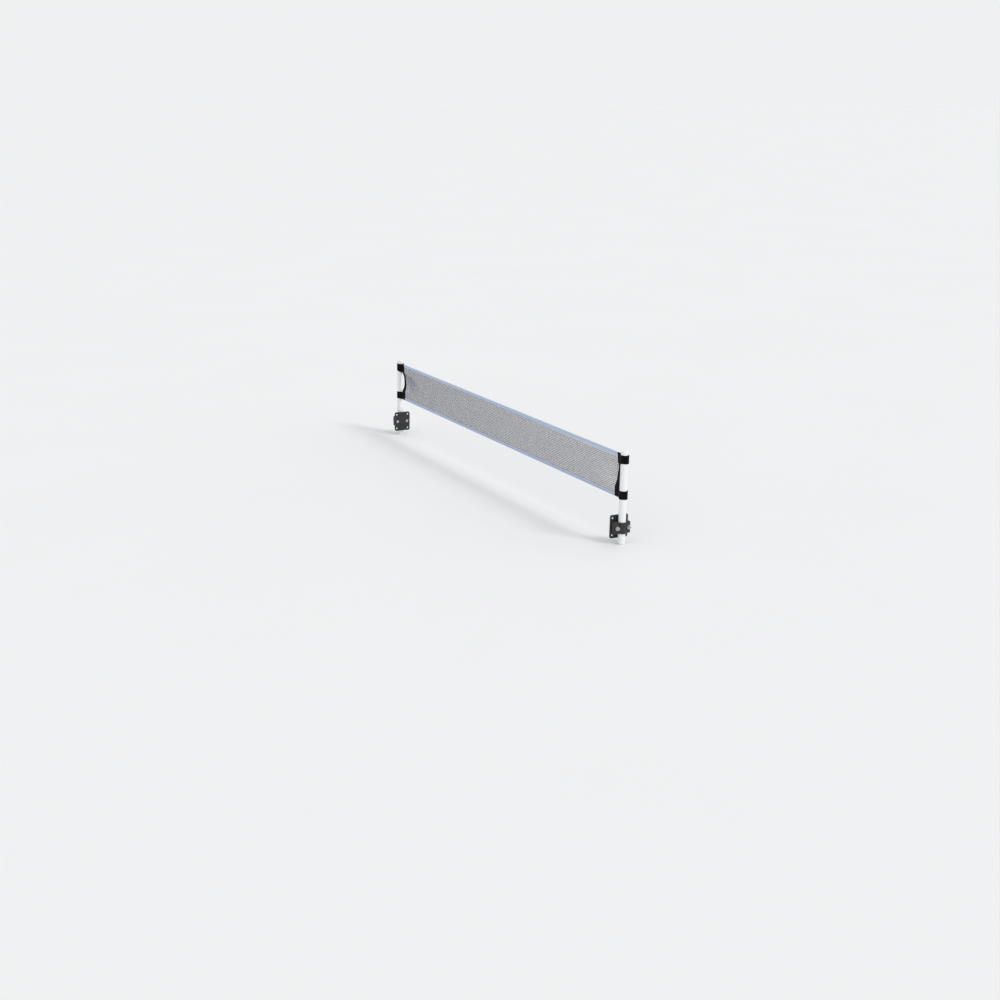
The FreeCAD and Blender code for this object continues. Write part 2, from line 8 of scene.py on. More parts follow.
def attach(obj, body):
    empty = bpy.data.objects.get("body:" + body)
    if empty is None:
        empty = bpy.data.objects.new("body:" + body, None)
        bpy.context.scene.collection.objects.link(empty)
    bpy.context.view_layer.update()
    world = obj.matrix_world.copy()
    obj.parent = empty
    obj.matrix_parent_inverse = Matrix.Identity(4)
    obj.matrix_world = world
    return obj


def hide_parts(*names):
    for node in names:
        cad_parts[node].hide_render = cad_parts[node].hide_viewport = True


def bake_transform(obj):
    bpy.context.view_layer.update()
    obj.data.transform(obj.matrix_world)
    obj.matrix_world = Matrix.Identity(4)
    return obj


# Table-tennis net on two round posts. Metres, X along the net, Y across it, Z up.
# Each end is laid out from its own post: "inward" is the distance from the post towards the middle.

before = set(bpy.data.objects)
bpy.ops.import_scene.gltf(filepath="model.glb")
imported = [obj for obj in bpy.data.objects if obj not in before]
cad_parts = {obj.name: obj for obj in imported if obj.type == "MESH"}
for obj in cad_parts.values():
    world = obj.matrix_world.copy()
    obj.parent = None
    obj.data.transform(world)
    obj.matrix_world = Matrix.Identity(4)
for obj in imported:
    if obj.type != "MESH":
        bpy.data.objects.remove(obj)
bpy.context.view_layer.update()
mm = 0.001
halfSpan = 782.5 * mm  # from the middle of the net to each post's axis
floorLevel = -115 * mm
ends = {"left_": -1, "right_": 1}
chance = np.random.default_rng(11)
print("frame loaded")


# helpers for meshes; a shape is its points, its faces and, where it is woven, its uv places

def linkObject(name, data):
    thing = bpy.data.objects.new(name, data)
    bpy.context.collection.objects.link(thing)
    return thing


def addPiece(name, shape, finish, body=None, nodes=(), sharpAngle=None):
    # makes a shape's object, and says which body it rides and which nodes it replaces
    mesh = bpy.data.meshes.new(name)
    mesh.from_pydata(np.asarray(shape[0], float).tolist(), [], shape[1])
    if len(shape) > 2:
        layer = mesh.uv_layers.new(name="UVMap")
        corners = np.zeros(len(mesh.loops), np.int32)
        mesh.loops.foreach_get("vertex_index", corners)
        layer.data.foreach_set("uv", np.asarray(shape[2], np.float32)[corners].ravel())
    work = bmesh.new()
    work.from_mesh(mesh)
    bmesh.ops.remove_doubles(work, verts=work.verts, dist=1e-6)
    bmesh.ops.recalc_face_normals(work, faces=work.faces)
    work.to_mesh(mesh)
    work.free()
    mesh.materials.append(materials[finish])
    mesh.shade_smooth()
    if sharpAngle:
        mesh.set_sharp_from_angle(angle=math.radians(sharpAngle))
    piece = linkObject(name, mesh)
    if nodes:
        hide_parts(*nodes)
    if body:
        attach(piece, body)
    return piece


def ringFaces(count, size, closed=False, capped=True):
    # quads between successive rings of equal size, and flat ends
    rows = np.arange(count if closed else count - 1)[:, None]
    here = np.arange(size)
    after, below = (here + 1) % size, (rows + 1) % count
    corners = [rows * size + here, rows * size + after, below * size + after, below * size + here]
    faces = np.stack(corners, -1).reshape(-1, 4).tolist()
    if capped:
        faces += [list(range(size))[::-1], [(count - 1) * size + i for i in range(size)]]
    return faces


def sweptShape(rings, u, v):
    uv = np.stack(np.broadcast_arrays(u, v), -1)
    return rings.reshape(-1, 3), ringFaces(*rings.shape[:2]), uv.reshape(-1, 2)


def joinShapes(shapes):
    faces, start = [], 0
    for shape in shapes:
        faces += [[index + start for index in face] for face in shape[1]]
        start += len(shape[0])
    return np.concatenate([shape[0] for shape in shapes]), faces


def toWorld(side, inward, across, height):
    # side -1 is the left-hand post, +1 the right-hand one
    x = side * (halfSpan - np.asarray(inward, float))
    return np.stack(np.broadcast_arrays(x, across, height), -1)


def roundAngles(count):
    return np.linspace(0, 2 * math.pi, count, endpoint=False)


def arcPoints(radius, startAngle, endAngle, count, x=0, y=0):
    angles = np.radians(np.linspace(startAngle, endAngle, count))
    return [(x + radius * math.cos(a), y + radius * math.sin(a)) for a in angles]


def turnedShape(profile, angles, closed):
    # rings of (place, radius) about the first axis; a radius may be an array over the angles
    rings = [np.stack(np.broadcast_arrays(place, radius * np.cos(angles), radius * np.sin(angles)), -1)
             for place, radius in profile]
    return np.concatenate(rings), ringFaces(len(rings), len(angles), closed, capped=False)


def tubeAlong(points, radii, count, firstAxis, secondAxis):
    # a tube with flat ends, its rings in the plane of two axes
    angles = roundAngles(count)[:, None]
    ring = np.cos(angles) * firstAxis + np.sin(angles) * secondAxis
    rings = points[:, None] + np.broadcast_to(radii, len(points))[:, None, None] * ring
    return rings.reshape(-1, 3), ringFaces(len(points), count)


def mixed(low, high, share):
    return low + (high - low) * share


def smoothStep(value, low, high):
    t = np.clip((value - low) / (high - low), 0, 1)
    return t * t * (3 - 2 * t)


def roundedRim(distance, soft, least):
    # how much of its thickness a soft edge has at a distance from the rim
    return np.sqrt(np.clip(1 - (1 - np.clip(distance / soft, 0, 1)) ** 2, least, 1))


def reachAlong(line):
    steps = np.linalg.norm(np.diff(line, axis=0), axis=1)
    return np.concatenate([[0], np.cumsum(steps)])


def pointsAt(line, places):
    reach = reachAlong(line)
    return np.stack([np.interp(places, reach, column) for column in line.T], -1)


stitching = {"sides": 6, "rings": 6, "rise": 1.3, "sink": 0.7, "endShare": 0.55, "fullness": 0.6}


def stitchRow(line, face, length, gap, radius):
    # short threads lying along a line on cloth that faces -Y or +Y, their ends dipping into it
    reach = reachAlong(line)[-1]
    starts = np.linspace(0, reach - length, int((reach + gap) // (length + gap)))
    share = np.linspace(0, 1, stitching["rings"])
    centre = pointsAt(line, starts[:, None] + share * length)
    along = np.gradient(centre, axis=1)
    along /= np.linalg.norm(along, axis=-1, keepdims=True)
    out = np.array([0.0, face, 0.0])
    aside = np.cross(along, out)[:, :, None]
    arch = (np.sin(share * math.pi) ** stitching["fullness"])[:, None]
    centre += out * radius * (stitching["rise"] * arch - stitching["sink"])
    thick = radius * mixed(stitching["endShare"], 1, arch)
    angles = roundAngles(stitching["sides"])[:, None]
    rings = centre[:, :, None] + (np.cos(angles) * aside + np.sin(angles) * out) * thick[:, None]
    faces = ringFaces(*rings.shape[1:3])
    return joinShapes([(thread.reshape(-1, 3), faces) for thread in rings])


# shared shader effects, as node groups that put out colours, masks and heights

def srgb(red, green, blue):
    linear = [((c / 255 + 0.055) / 1.055) ** 2.4 if c > 10 else c / 255 / 12.92 for c in (red, green, blue)]
    return (*linear, 1.0)


def put(tree, kind, inputs=None, **settings):
    # a new node; its settings come first, since they decide which inputs it has
    node = tree.nodes.new(kind)
    for key, value in settings.items():
        setattr(node, key, value)
    for key, value in (inputs or {}).items():
        if isinstance(value, bpy.types.NodeSocket):
            tree.links.new(value, node.inputs[key])
        else:
            node.inputs[key].default_value = value
    return node


def math2(tree, operation, first, second=0.0):
    return put(tree, "ShaderNodeMath", {0: first, 1: second}, operation=operation).outputs[0]


def times(tree, first, second):
    return math2(tree, "MULTIPLY", first, second)


def mapRange(tree, value, low, high, fromLow=0.0, fromHigh=1.0, **settings):
    inputs = {"Value": value, "From Min": fromLow, "From Max": fromHigh, "To Min": low, "To Max": high}
    return put(tree, "ShaderNodeMapRange", inputs, **settings).outputs[0]


def mixColour(tree, share, first, second):
    return put(tree, "ShaderNodeMix", {"Factor": share, 6: first, 7: second}, data_type="RGBA").outputs[2]


def scaledColour(tree, colour, level):
    return put(tree, "ShaderNodeVectorMath", {0: colour, "Scale": level}, operation="SCALE").outputs[0]


def objectPlace(tree):
    return put(tree, "ShaderNodeTexCoord").outputs["Object"]


def noiseAt(tree, place, scale, detail):
    return put(tree, "ShaderNodeTexNoise", {"Vector": place, "Scale": scale, "Detail": detail}).outputs["Fac"]


def addSocket(tree, label, way):
    kind = {"Vector": "NodeSocketVector", "Color": "NodeSocketColor"}.get(label, "NodeSocketFloat")
    return tree.interface.new_socket(name=label, in_out=way, socket_type=kind)


def openEffect(name, inputs):
    tree = bpy.data.node_groups.new(name, "ShaderNodeTree")
    for label, value in inputs.items():
        socket = addSocket(tree, label, "INPUT")
        if value is not None:
            socket.default_value = value
    return tree, tree.nodes.new("NodeGroupInput").outputs


def closeEffect(tree, outputs):
    for label in outputs:
        addSocket(tree, label, "OUTPUT")
    put(tree, "NodeGroupOutput", outputs)
    return tree


def buildWeave():
    # plain weave: two crossing sets of threads, one or the other on top in a checkered order
    tree, given = openEffect("clothWeave", {"Vector": None, "Warp": 1000.0, "Weft": 1000.0, "Fray": 0.15})
    fray = noiseAt(tree, given["Vector"], 900.0, 2.0)
    parts = put(tree, "ShaderNodeSeparateXYZ", {"Vector": given["Vector"]}).outputs
    bumps, cells = [], []
    for axis, count in (("X", "Warp"), ("Y", "Weft")):
        wobble = times(tree, fray, given["Fray"])
        place = math2(tree, "ADD", times(tree, parts[axis], given[count]), wobble)
        bumps.append(math2(tree, "ABSOLUTE", math2(tree, "SINE", times(tree, place, math.pi))))
        cells.append(math2(tree, "FLOOR", place))
    parity = math2(tree, "PINGPONG", math2(tree, "ADD", *cells), 1.0)
    top = put(tree, "ShaderNodeMix", {"Factor": parity, 2: bumps[0], 3: bumps[1]}).outputs[0]
    under = times(tree, times(tree, *bumps), 0.45)
    height = math2(tree, "ADD", times(tree, top, 0.55), under)
    # the gap output is painted shade: it darkens the colour between the threads, where they lie lowest
    return closeEffect(tree, {"Height": height, "GapShade": mapRange(tree, height, 1.0, 0.0, 0.0, 0.35)})


def buildMottle():
    # slow colour change and fine speckle over a surface
    tree, given = openEffect("softMottle", {"Color": (0.5, 0.5, 0.5, 1), "Scale": 40.0, "Amount": 0.1})
    spread = mapRange(tree, noiseAt(tree, objectPlace(tree), given["Scale"], 4.0), 0.0, 1.0, 0.3, 0.7)
    level = mapRange(tree, spread, math2(tree, "SUBTRACT", 1.0, given["Amount"]), 1.0)
    return closeEffect(tree, {"Color": scaledColour(tree, given["Color"], level), "Mask": spread})


def buildGrain():
    # fine raised grain of moulded plastic, or orange peel of a baked coat, by scale
    tree, given = openEffect("surfaceGrain", {"Scale": 900.0})
    place = objectPlace(tree)
    noise = noiseAt(tree, place, given["Scale"], 3.0)
    cells = put(tree, "ShaderNodeTexVoronoi", {"Vector": place, "Scale": given["Scale"]}).outputs["Distance"]
    return closeEffect(tree, {"Height": math2(tree, "ADD", noise, times(tree, cells, 0.4)), "Mask": noise})


def buildEdgeWear():
    # pale rub along outer edges, broken up by noise
    tree, given = openEffect("edgeWear", {"Reach": 0.08, "Scale": 120.0})
    noise = noiseAt(tree, objectPlace(tree), given["Scale"], 5.0)
    low = math2(tree, "ADD", 0.5, times(tree, noise, 0.06))
    high = math2(tree, "ADD", low, given["Reach"])
    pointiness = put(tree, "ShaderNodeNewGeometry").outputs["Pointiness"]
    return closeEffect(tree, {"Mask": mapRange(tree, pointiness, 0.0, 1.0, low, high)})


effects = {"weave": buildWeave(), "mottle": buildMottle(), "grain": buildGrain(), "edgeWear": buildEdgeWear()}


def effect(tree, name, inputs):
    return put(tree, "ShaderNodeGroup", inputs, node_tree=effects[name]).outputs


def mottled(tree, colour, scale, amount):
    return effect(tree, "mottle", {"Color": colour, "Scale": scale, "Amount": amount})


def newMaterial(name, fixed):
    material = bpy.data.materials.new(name)
    material.use_nodes = True
    shader = material.node_tree.nodes["Principled BSDF"]
    for key, value in fixed.items():
        shader.inputs[key].default_value = value
    return material, material.node_tree, shader


def wireShader(tree, shader, colour, height, relief, mask, roughness):
    # relief is a bump's strength and distance; roughness is the two levels that the mask mixes
    bump = put(tree, "ShaderNodeBump", {"Height": height, "Strength": relief[0], "Distance": relief[1]})
    tree.links.new(colour, shader.inputs["Base Color"])
    tree.links.new(bump.outputs["Normal"], shader.inputs["Normal"])
    tree.links.new(mapRange(tree, mask, *roughness), shader.inputs["Roughness"])


def hardFinish(name, values):
    # baked coat, moulded plastic or plated steel: mottled, grained and paler where it is rubbed
    material, tree, shader = newMaterial(name, values["fixed"])
    colour = mottled(tree, values["colour"], *values["mottle"])["Color"]
    if "wear" in values:
        amount, wearColour = values["wear"]
        rubbed = effect(tree, "edgeWear", {"Reach": 0.1, "Scale": 160.0})["Mask"]
        colour = mixColour(tree, times(tree, rubbed, amount), colour, wearColour)
    grain = effect(tree, "grain", {"Scale": values["grain"]})
    wireShader(tree, shader, colour, grain["Height"], values["relief"], grain["Mask"], values["roughness"])
    return material


def wovenCloth(name, values):
    # threads over gaps painted darker as painted shade; a folded tape changes its tone between two heights,
    # painted darker over its rounded fold as painted shade
    fixed = {"Sheen Weight": values["sheen"], "Sheen Roughness": 0.5, "Specular IOR Level": values["gloss"]}
    material, tree, shader = newMaterial(name, fixed)
    place = put(tree, "ShaderNodeUVMap", uv_map="UVMap").outputs["UV"]
    colour = values["colour"]
    # the tape's rounded fold is painted darker than its flat legs: painted shade
    if "upperColour" in values:
        height = put(tree, "ShaderNodeSeparateXYZ", {"Vector": place}).outputs["Y"]
        share = mapRange(tree, height, 0.0, 1.0, *values["change"], interpolation_type="SMOOTHSTEP")
        colour = mixColour(tree, share, colour, values["upperColour"])
    colour = mottled(tree, colour, *values["mottle"])["Color"]
    warp, weft, fray = values["weave"]
    weave = effect(tree, "weave", {"Vector": place, "Warp": warp, "Weft": weft, "Fray": fray})
    # the gaps between the threads are painted darker: painted shade
    gapShadeShare, gapShadeColour = values["gap"]
    colour = mixColour(tree, times(tree, weave["GapShade"], gapShadeShare), colour, gapShadeColour)
    wireShader(tree, shader, colour, weave["Height"], values["relief"], weave["Height"], values["roughness"])
    return material


def twistedThread(name, values):
    # thread seen from its side: slanting plies along the upright and level runs
    fixed = {"Sheen Weight": values["sheen"], "Sheen Roughness": 0.4, "Specular IOR Level": 0.3}
    material, tree, shader = newMaterial(name, fixed)
    waves = {"Vector": objectPlace(tree), "Scale": values["plyScale"], "Distortion": 1.5, "Detail": 1.0}
    ply = put(tree, "ShaderNodeTexWave", waves, bands_direction="DIAGONAL").outputs["Fac"]
    mottle = mottled(tree, values["colour"], 160.0, values["mottle"])
    # the grooves between the plies are painted darker: painted shade
    colour = scaledColour(tree, mottle["Color"], mapRange(tree, ply, 0.75, 1.0))
    wireShader(tree, shader, colour, ply, (0.5, 0.08 * mm), mottle["Mask"], (0.55, 0.75))
    return material


moulding = {"make": hardFinish, "fixed": {"IOR": 1.46, "Specular IOR Level": 0.5}}
paleTape = {
    "make": wovenCloth, "slot": "pale_tape", "mottle": (70.0, 0.08), "weave": (1300.0, 1700.0, 0.2),
    "relief": (0.5, 0.08 * mm), "sheen": 0.1, "gloss": 0.25, "roughness": (0.6, 0.8),
}
finishes = {
    "whiteCoat": {
        "make": hardFinish, "slot": "white_coat", "fixed": {"IOR": 1.5, "Specular IOR Level": 0.45},
        "colour": (0.87, 0.875, 0.88, 1), "mottle": (24.0, 0.03), "grain": 700.0, "relief": (0.25, 0.05 * mm),
        "roughness": (0.26, 0.36)},
    "whiteMoulding": {
        **moulding, "slot": "white_moulding", "colour": (0.86, 0.865, 0.865, 1), "mottle": (60.0, 0.04),
        "wear": (0.2, (0.9, 0.9, 0.9, 1)), "grain": 1400.0, "relief": (0.5, 0.03 * mm),
        "roughness": (0.38, 0.5)},
    "darkMoulding": {
        **moulding, "slot": "dark_moulding", "colour": (0.022, 0.022, 0.024, 1), "mottle": (60.0, 0.25),
        "wear": (0.6, (0.12, 0.12, 0.12, 1)), "grain": 1700.0, "relief": (0.5, 0.06 * mm),
        "roughness": (0.45, 0.62)},
    "zincSteel": {
        "make": hardFinish, "slot": "zinc_steel", "fixed": {"Metallic": 1.0}, "colour": (0.62, 0.63, 0.65, 1),
        "mottle": (300.0, 0.18), "grain": 2400.0, "relief": (0.2, 0.02 * mm), "roughness": (0.25, 0.42)},
    # each cloth's gap colour is painted shade between its threads
    "blackCloth": {
        "make": wovenCloth, "slot": "black_cloth", "colour": (0.003, 0.003, 0.0055, 1),
        "gap": (0.8, (0.001, 0.001, 0.002, 1)), "mottle": (90.0, 0.25), "weave": (1500.0, 1500.0, 0.15),
        "relief": (0.6, 0.1 * mm), "sheen": 0.005, "gloss": 0.1, "roughness": (0.45, 0.65)},
    "blackWebbing": {
        "make": wovenCloth, "slot": "black_webbing", "colour": (0.003, 0.003, 0.006, 1),
        "gap": (0.8, (0.001, 0.001, 0.0018, 1)), "mottle": (90.0, 0.3), "weave": (700.0, 1100.0, 0.25),
        "relief": (0.9, 0.18 * mm), "sheen": 0.008, "gloss": 0.1, "roughness": (0.6, 0.85)},
    "loopPile": {
        "make": wovenCloth, "slot": "black_webbing", "colour": (0.006, 0.006, 0.009, 1),
        "gap": (0.8, (0.002, 0.002, 0.003, 1)), "mottle": (90.0, 0.45), "weave": (1900.0, 2300.0, 1.6),
        "relief": (1.0, 0.25 * mm), "sheen": 0.06, "gloss": 0.08, "roughness": (0.85, 1.0)},
    "hookTape": {
        "make": wovenCloth, "slot": "hook_tape", "colour": (0.012, 0.012, 0.014, 1),
        "gap": (0.8, (0.004, 0.004, 0.005, 1)), "mottle": (90.0, 0.25), "weave": (900.0, 900.0, 0.2),
        "relief": (0.7, 0.12 * mm), "sheen": 0.03, "gloss": 0.3, "roughness": (0.4, 0.6)},
    "netThread": {
        "make": twistedThread, "slot": "mesh_thread", "colour": (0.012, 0.014, 0.062, 1), "mottle": 0.3,
        "plyScale": 500.0, "sheen": 0.03},
    "blackThread": {
        "make": twistedThread, "slot": "black_webbing", "colour": (0.009, 0.009, 0.012, 1), "mottle": 0.2,
        "plyScale": 800.0, "sheen": 0.04},
    "paleThread": {
        "make": twistedThread, "slot": "pale_tape", "colour": srgb(178, 180, 214), "mottle": 0.1,
        "plyScale": 800.0, "sheen": 0.1},
    "whiteCord": {
        "make": twistedThread, "slot": "white_cord", "colour": (0.75, 0.74, 0.7, 1), "mottle": 0.12,
        "plyScale": 400.0, "sheen": 0.2},
    # top tape: the upper colour, towards the rounded hem round the cord, is painted shade
    "topTape": {
        **paleTape, "colour": srgb(205, 215, 236), "upperColour": srgb(193, 210, 234),
        "change": (140.5 * mm, 144.5 * mm), "gap": (0.5, srgb(169, 182, 212))},
    # bottom tape: the lower colour, over the rounded fold, is painted shade; the upper colour is the legs'
    # own tone
    "bottomTape": {
        **paleTape, "colour": srgb(172, 188, 223), "upperColour": srgb(200, 210, 233),
        "change": (23.5 * mm, 26.5 * mm), "gap": (0.5, srgb(158, 172, 208))},
}
materials = {name: values["make"](name, values) for name, values in finishes.items()}
print("finishes ready")


# posts: turned tubes, with caps and foot plugs in their ends

post = {"radius": 11 * mm, "bore": 9.5 * mm, "top": 158 * mm, "bottom": -112 * mm, "edge": 0.35 * mm,
        "turns": 128, "rings": 12, "ringMargin": 10 * mm}
cap = {"crown": 5.5 * mm, "fall": 0.8 * mm, "edge": 3 * mm, "plugDepth": 16 * mm,
       "shoulder": ((0.5 * mm, 0), (0.12 * mm, 0.18 * mm), (0, 0.5 * mm))}
foot = {"flange": 3 * mm, "edge": 0.9 * mm, "shoulder": 0.25 * mm, "plugDepth": 14 * mm}
plug = {"wall": 2.5 * mm, "play": 0.05 * mm, "taper": 0.6 * mm, "taperLength": 1.2 * mm}


def addTurned(side, name, profile, finish, label, sharpAngle, closed=False):
    # turns a profile of (radius, height) about the post's own axis
    shape = turnedShape([(height, radius) for radius, height in profile], roundAngles(post["turns"]), closed)
    verts = shape[0][:, [1, 2, 0]] + (side * halfSpan, 0, 0)
    addPiece(name + label, (verts, shape[1]), finish, "posts", [name], sharpAngle)


def postTube(side, name):
    outer, bore, top, bottom, edge = (post[key] for key in ("radius", "bore", "top", "bottom", "edge"))
    margin = post["ringMargin"]
    profile = [(bore, bottom + edge), (bore + edge, bottom), (outer - edge, bottom), (outer, bottom + edge)]
    profile += [(outer, level) for level in np.linspace(bottom + margin, top - margin, post["rings"])]
    profile += [(outer, top - edge), (outer - edge, top), (bore + edge, top), (bore, top - edge)]
    addTurned(side, name, profile, "whiteCoat", "_coated", 40, closed=True)


def plugProfile(end, depth):
    # a hollow plug from the post's axis out to its bore, reaching up from the tube's end, or down
    way, tip, bore = math.copysign(1, depth), end + depth, post["bore"]
    inner, floor = bore - plug["wall"], end + way * plug["wall"]
    return [(0, floor), (inner, floor), (inner, tip), (bore - plug["taper"], tip),
            (bore - plug["play"], tip - way * plug["taperLength"]), (bore - plug["play"], end)]


def postCap(side, name):
    outer, top, edge, fall = post["radius"], post["top"], cap["edge"], cap["fall"]
    crown = top + cap["crown"]
    rim = arcPoints(edge, 0, 82, 9, outer - edge, crown - fall - edge)
    dome = [(r, crown - fall * (r / rim[-1][0]) ** 2) for r in np.linspace(rim[-1][0], 0, 9)[1:]]
    shoulder = [(outer - inset, top + rise) for inset, rise in cap["shoulder"]]
    profile = plugProfile(top, -cap["plugDepth"]) + shoulder + rim + dome
    addTurned(side, name, profile, "whiteMoulding", "_moulded", 50)


def footPlug(side, name):
    outer, bottom, edge = post["radius"], post["bottom"], foot["edge"]
    low = bottom - foot["flange"]
    corner = arcPoints(edge, -90, 0, 6, outer - edge, low + edge)
    shoulder = [(outer, bottom - foot["shoulder"]), (outer - foot["shoulder"], bottom)]
    profile = [(0, low)] + corner + shoulder + plugProfile(bottom, foot["plugDepth"])[::-1]
    addTurned(side, name, profile, "whiteMoulding", "_moulded", 50)


# tube clamps: flat outlines with softened edges, drilled for their screws

clamp = {
    "middle": -65 * mm, "gripHeight": 34 * mm, "gripBack": 17.4 * mm, "halfWidth": 26 * mm, "split": 1 * mm,
    "ear": 5 * mm, "arch": 14 * mm, "reach": 20 * mm, "corner": 2.4 * mm, "soften": 0.7 * mm,
    "plateThickness": 5 * mm, "plateHalf": (30 * mm, 35 * mm), "plateCorner": 6 * mm,
    "fixing": (22 * mm, 26 * mm, 3.25 * mm), "screwPlaces": (-19 * mm, 19 * mm), "screwHole": 3.2 * mm,
    "nutFlats": 10.2 * mm, "baseDrill": (10 * mm, 30 * mm), "saddleDrill": (-3 * mm, 12 * mm),
}
earFace = -clamp["split"] - clamp["ear"]


def evaluatedMesh(holder):
    # the mesh that a curve or a changed mesh gives; the holder itself goes
    mesh = bpy.data.meshes.new_from_object(holder.evaluated_get(bpy.context.evaluated_depsgraph_get()))
    bpy.data.objects.remove(holder)
    return mesh


def softPlate(outlines, thickness):
    # a flat filled outline with holes, thickened evenly and with rounded rims
    shape = bpy.data.curves.new("outline", "CURVE")
    shape.dimensions = "2D"
    shape.fill_mode = "BOTH"
    shape.extrude = thickness / 2 - clamp["soften"]
    shape.bevel_depth = clamp["soften"]
    shape.bevel_resolution = 2
    shape.offset = -clamp["soften"]
    for outline in outlines:
        spline = shape.splines.new("POLY")
        spline.points.add(len(outline) - 1)
        spline.points.foreach_set("co", np.array([(x, y, 0, 1) for x, y in outline], float).ravel())
        spline.use_cyclic_u = True
    return evaluatedMesh(linkObject("outline", shape))


def plateOutlines():
    outline, soft = [], clamp["plateCorner"]
    for cx, cy, start in ((1, 1, 0), (-1, 1, 90), (-1, -1, 180), (1, -1, 270)):
        x, y = (way * (half - soft) for way, half in zip((cx, cy), clamp["plateHalf"]))
        outline += arcPoints(soft, start, start + 90, 9, x, y)
    across, up, hole = clamp["fixing"]
    holes = [arcPoints(hole, 0, 351, 40, x, y) for x in (-across, across) for y in (-up, up)]
    pocket = clamp["nutFlats"] / 2 / math.cos(math.radians(30))
    return [outline] + holes + [arcPoints(pocket, 0, 300, 6, x) for x in clamp["screwPlaces"]]


def mirroredOutline(corners, facing, closing=()):
    # rounded corners on one side, a line across, the same corners on the other side, and a line back
    points = [np.asarray(corner, float) for corner in corners]
    half = []
    for before, corner, after in zip(points, points[1:], points[2:]):
        spans = [before - corner, after - corner]
        lengths = [np.linalg.norm(part) for part in spans]
        cut = min(clamp["corner"], *(length / 2.1 for length in lengths))
        first, last = (corner + part / length * cut for part, length in zip(spans, lengths))
        for t in np.linspace(0, 1, 5):
            half.append(tuple((1 - t) ** 2 * first + 2 * t * (1 - t) * corner + t**2 * last))
    return half + facing + [(x, -y) for x, y in reversed(half)] + list(closing)


def gripOutline():
    # the base's block from above, with rounded corners and a half-round seat for the tube
    split, back, wide, seat = clamp["split"], clamp["gripBack"], clamp["halfWidth"], post["radius"]
    bare = math.degrees(math.acos(split / seat))
    corners = [(back, 0), (back, wide), (split, wide), (split, math.sqrt(seat**2 - split**2))]
    return mirroredOutline(corners, arcPoints(seat, bare, -bare, 31))


def saddleOutline():
    # the saddle from above: two ears, and an arch round the tube
    split, wide, seat, arch = -clamp["split"], clamp["halfWidth"], post["radius"], clamp["arch"]
    bare, rise = (math.degrees(math.acos(x / radius)) for x, radius in ((split, seat), (earFace, arch)))
    corners = [(split, math.sqrt(seat**2 - split**2)), (split, wide), (earFace, wide),
               (earFace, math.sqrt(arch**2 - earFace**2))]
    outer, inner = arcPoints(arch, rise, 360 - rise, 41), arcPoints(seat, 360 - bare, bare, 41)
    return mirroredOutline(corners, outer, inner)


def drilledBlock(outline, middle, length):
    # a block as tall as the grip, with both screw holes cut along X
    block = softPlate([outline], clamp["gripHeight"])
    block.transform(Matrix.Translation((0, 0, clamp["middle"])))
    blank, tools = linkObject("blank", block), []
    for y in clamp["screwPlaces"]:
        work, cutter = bmesh.new(), bpy.data.meshes.new("drill")
        turned = Matrix.Translation((middle, y, clamp["middle"])) @ Matrix.Rotation(math.pi / 2, 4, "Y")
        bmesh.ops.create_cone(work, cap_ends=True, segments=40, radius1=clamp["screwHole"],
                              radius2=clamp["screwHole"], depth=length, matrix=turned)
        work.to_mesh(cutter)
        work.free()
        tools.append(linkObject("drill", cutter))
        cut = blank.modifiers.new("drill", "BOOLEAN")
        cut.operation, cut.object, cut.solver = "DIFFERENCE", tools[-1], "EXACT"
    bpy.context.view_layer.update()
    drilled = evaluatedMesh(blank)
    for tool in tools:
        bpy.data.objects.remove(tool)
    return drilled


def clampHalf(side, name, meshes):
    shapes = []
    for mesh in meshes:
        points = np.array([vertex.co for vertex in mesh.vertices])
        shapes.append((toWorld(side, *points.T), [list(face.vertices) for face in mesh.polygons]))
    addPiece(name + "_moulded", joinShapes(shapes), "darkMoulding", "posts", [name], 32)


def clampBase(side, name):
    plate = softPlate(plateOutlines(), clamp["plateThickness"])
    plateMiddle = clamp["reach"] - clamp["plateThickness"] / 2
    plate.transform(Matrix(((0, 0, 1, plateMiddle), (1, 0, 0, 0), (0, 1, 0, clamp["middle"]), (0, 0, 0, 1))))
    clampHalf(side, name, [plate, drilledBlock(gripOutline(), *clamp["baseDrill"])])


def clampSaddle(side, name):
    clampHalf(side, name, [drilledBlock(saddleOutline(), *clamp["saddleDrill"])])


# fasteners: rings along the screw's own line, from the head's face inward
# the screw's lip, crown, underside and neck are edges, each (along the screw, off the radius)

screw = {"turns": 96, "headRadius": 5 * mm, "headHeight": 6 * mm, "socket": 5 * mm, "socketDepth": 3 * mm,
         "shankRadius": 3 * mm, "pitch": 1 * mm, "threaded": 12 * mm, "threadDepth": 0.5 * mm,
         "knurl": 0.14 * mm, "knurls": 32, "knurlInset": 0.7 * mm, "tip": 0.6 * mm, "crestWear": 0.02 * mm,
         "lip": (0.25 * mm, 0.2 * mm), "crown": ((0, 0.9 * mm), (0.25 * mm, 0.35 * mm)),
         "underside": ((0.3 * mm, 0.2 * mm), (0, 0.4 * mm)), "neck": (0.3 * mm, 0.15 * mm)}
washer = {"turns": 64, "outer": 6 * mm, "inner": 3.2 * mm, "thickness": 1.6 * mm, "soften": 0.2 * mm}
nut = {"turns": 72, "flats": 10 * mm, "height": 5 * mm, "bore": 3 * mm, "soften": 0.4 * mm, "inset": 0.2 * mm,
       "chamfer": ((0, 4.75 * mm), (0.45 * mm, 5.35 * mm), (0.8 * mm, 6 * mm))}


def hexRadius(flats, angles):
    return flats / 2 / np.cos((angles + math.pi / 6) % (math.pi / 3) - math.pi / 6)


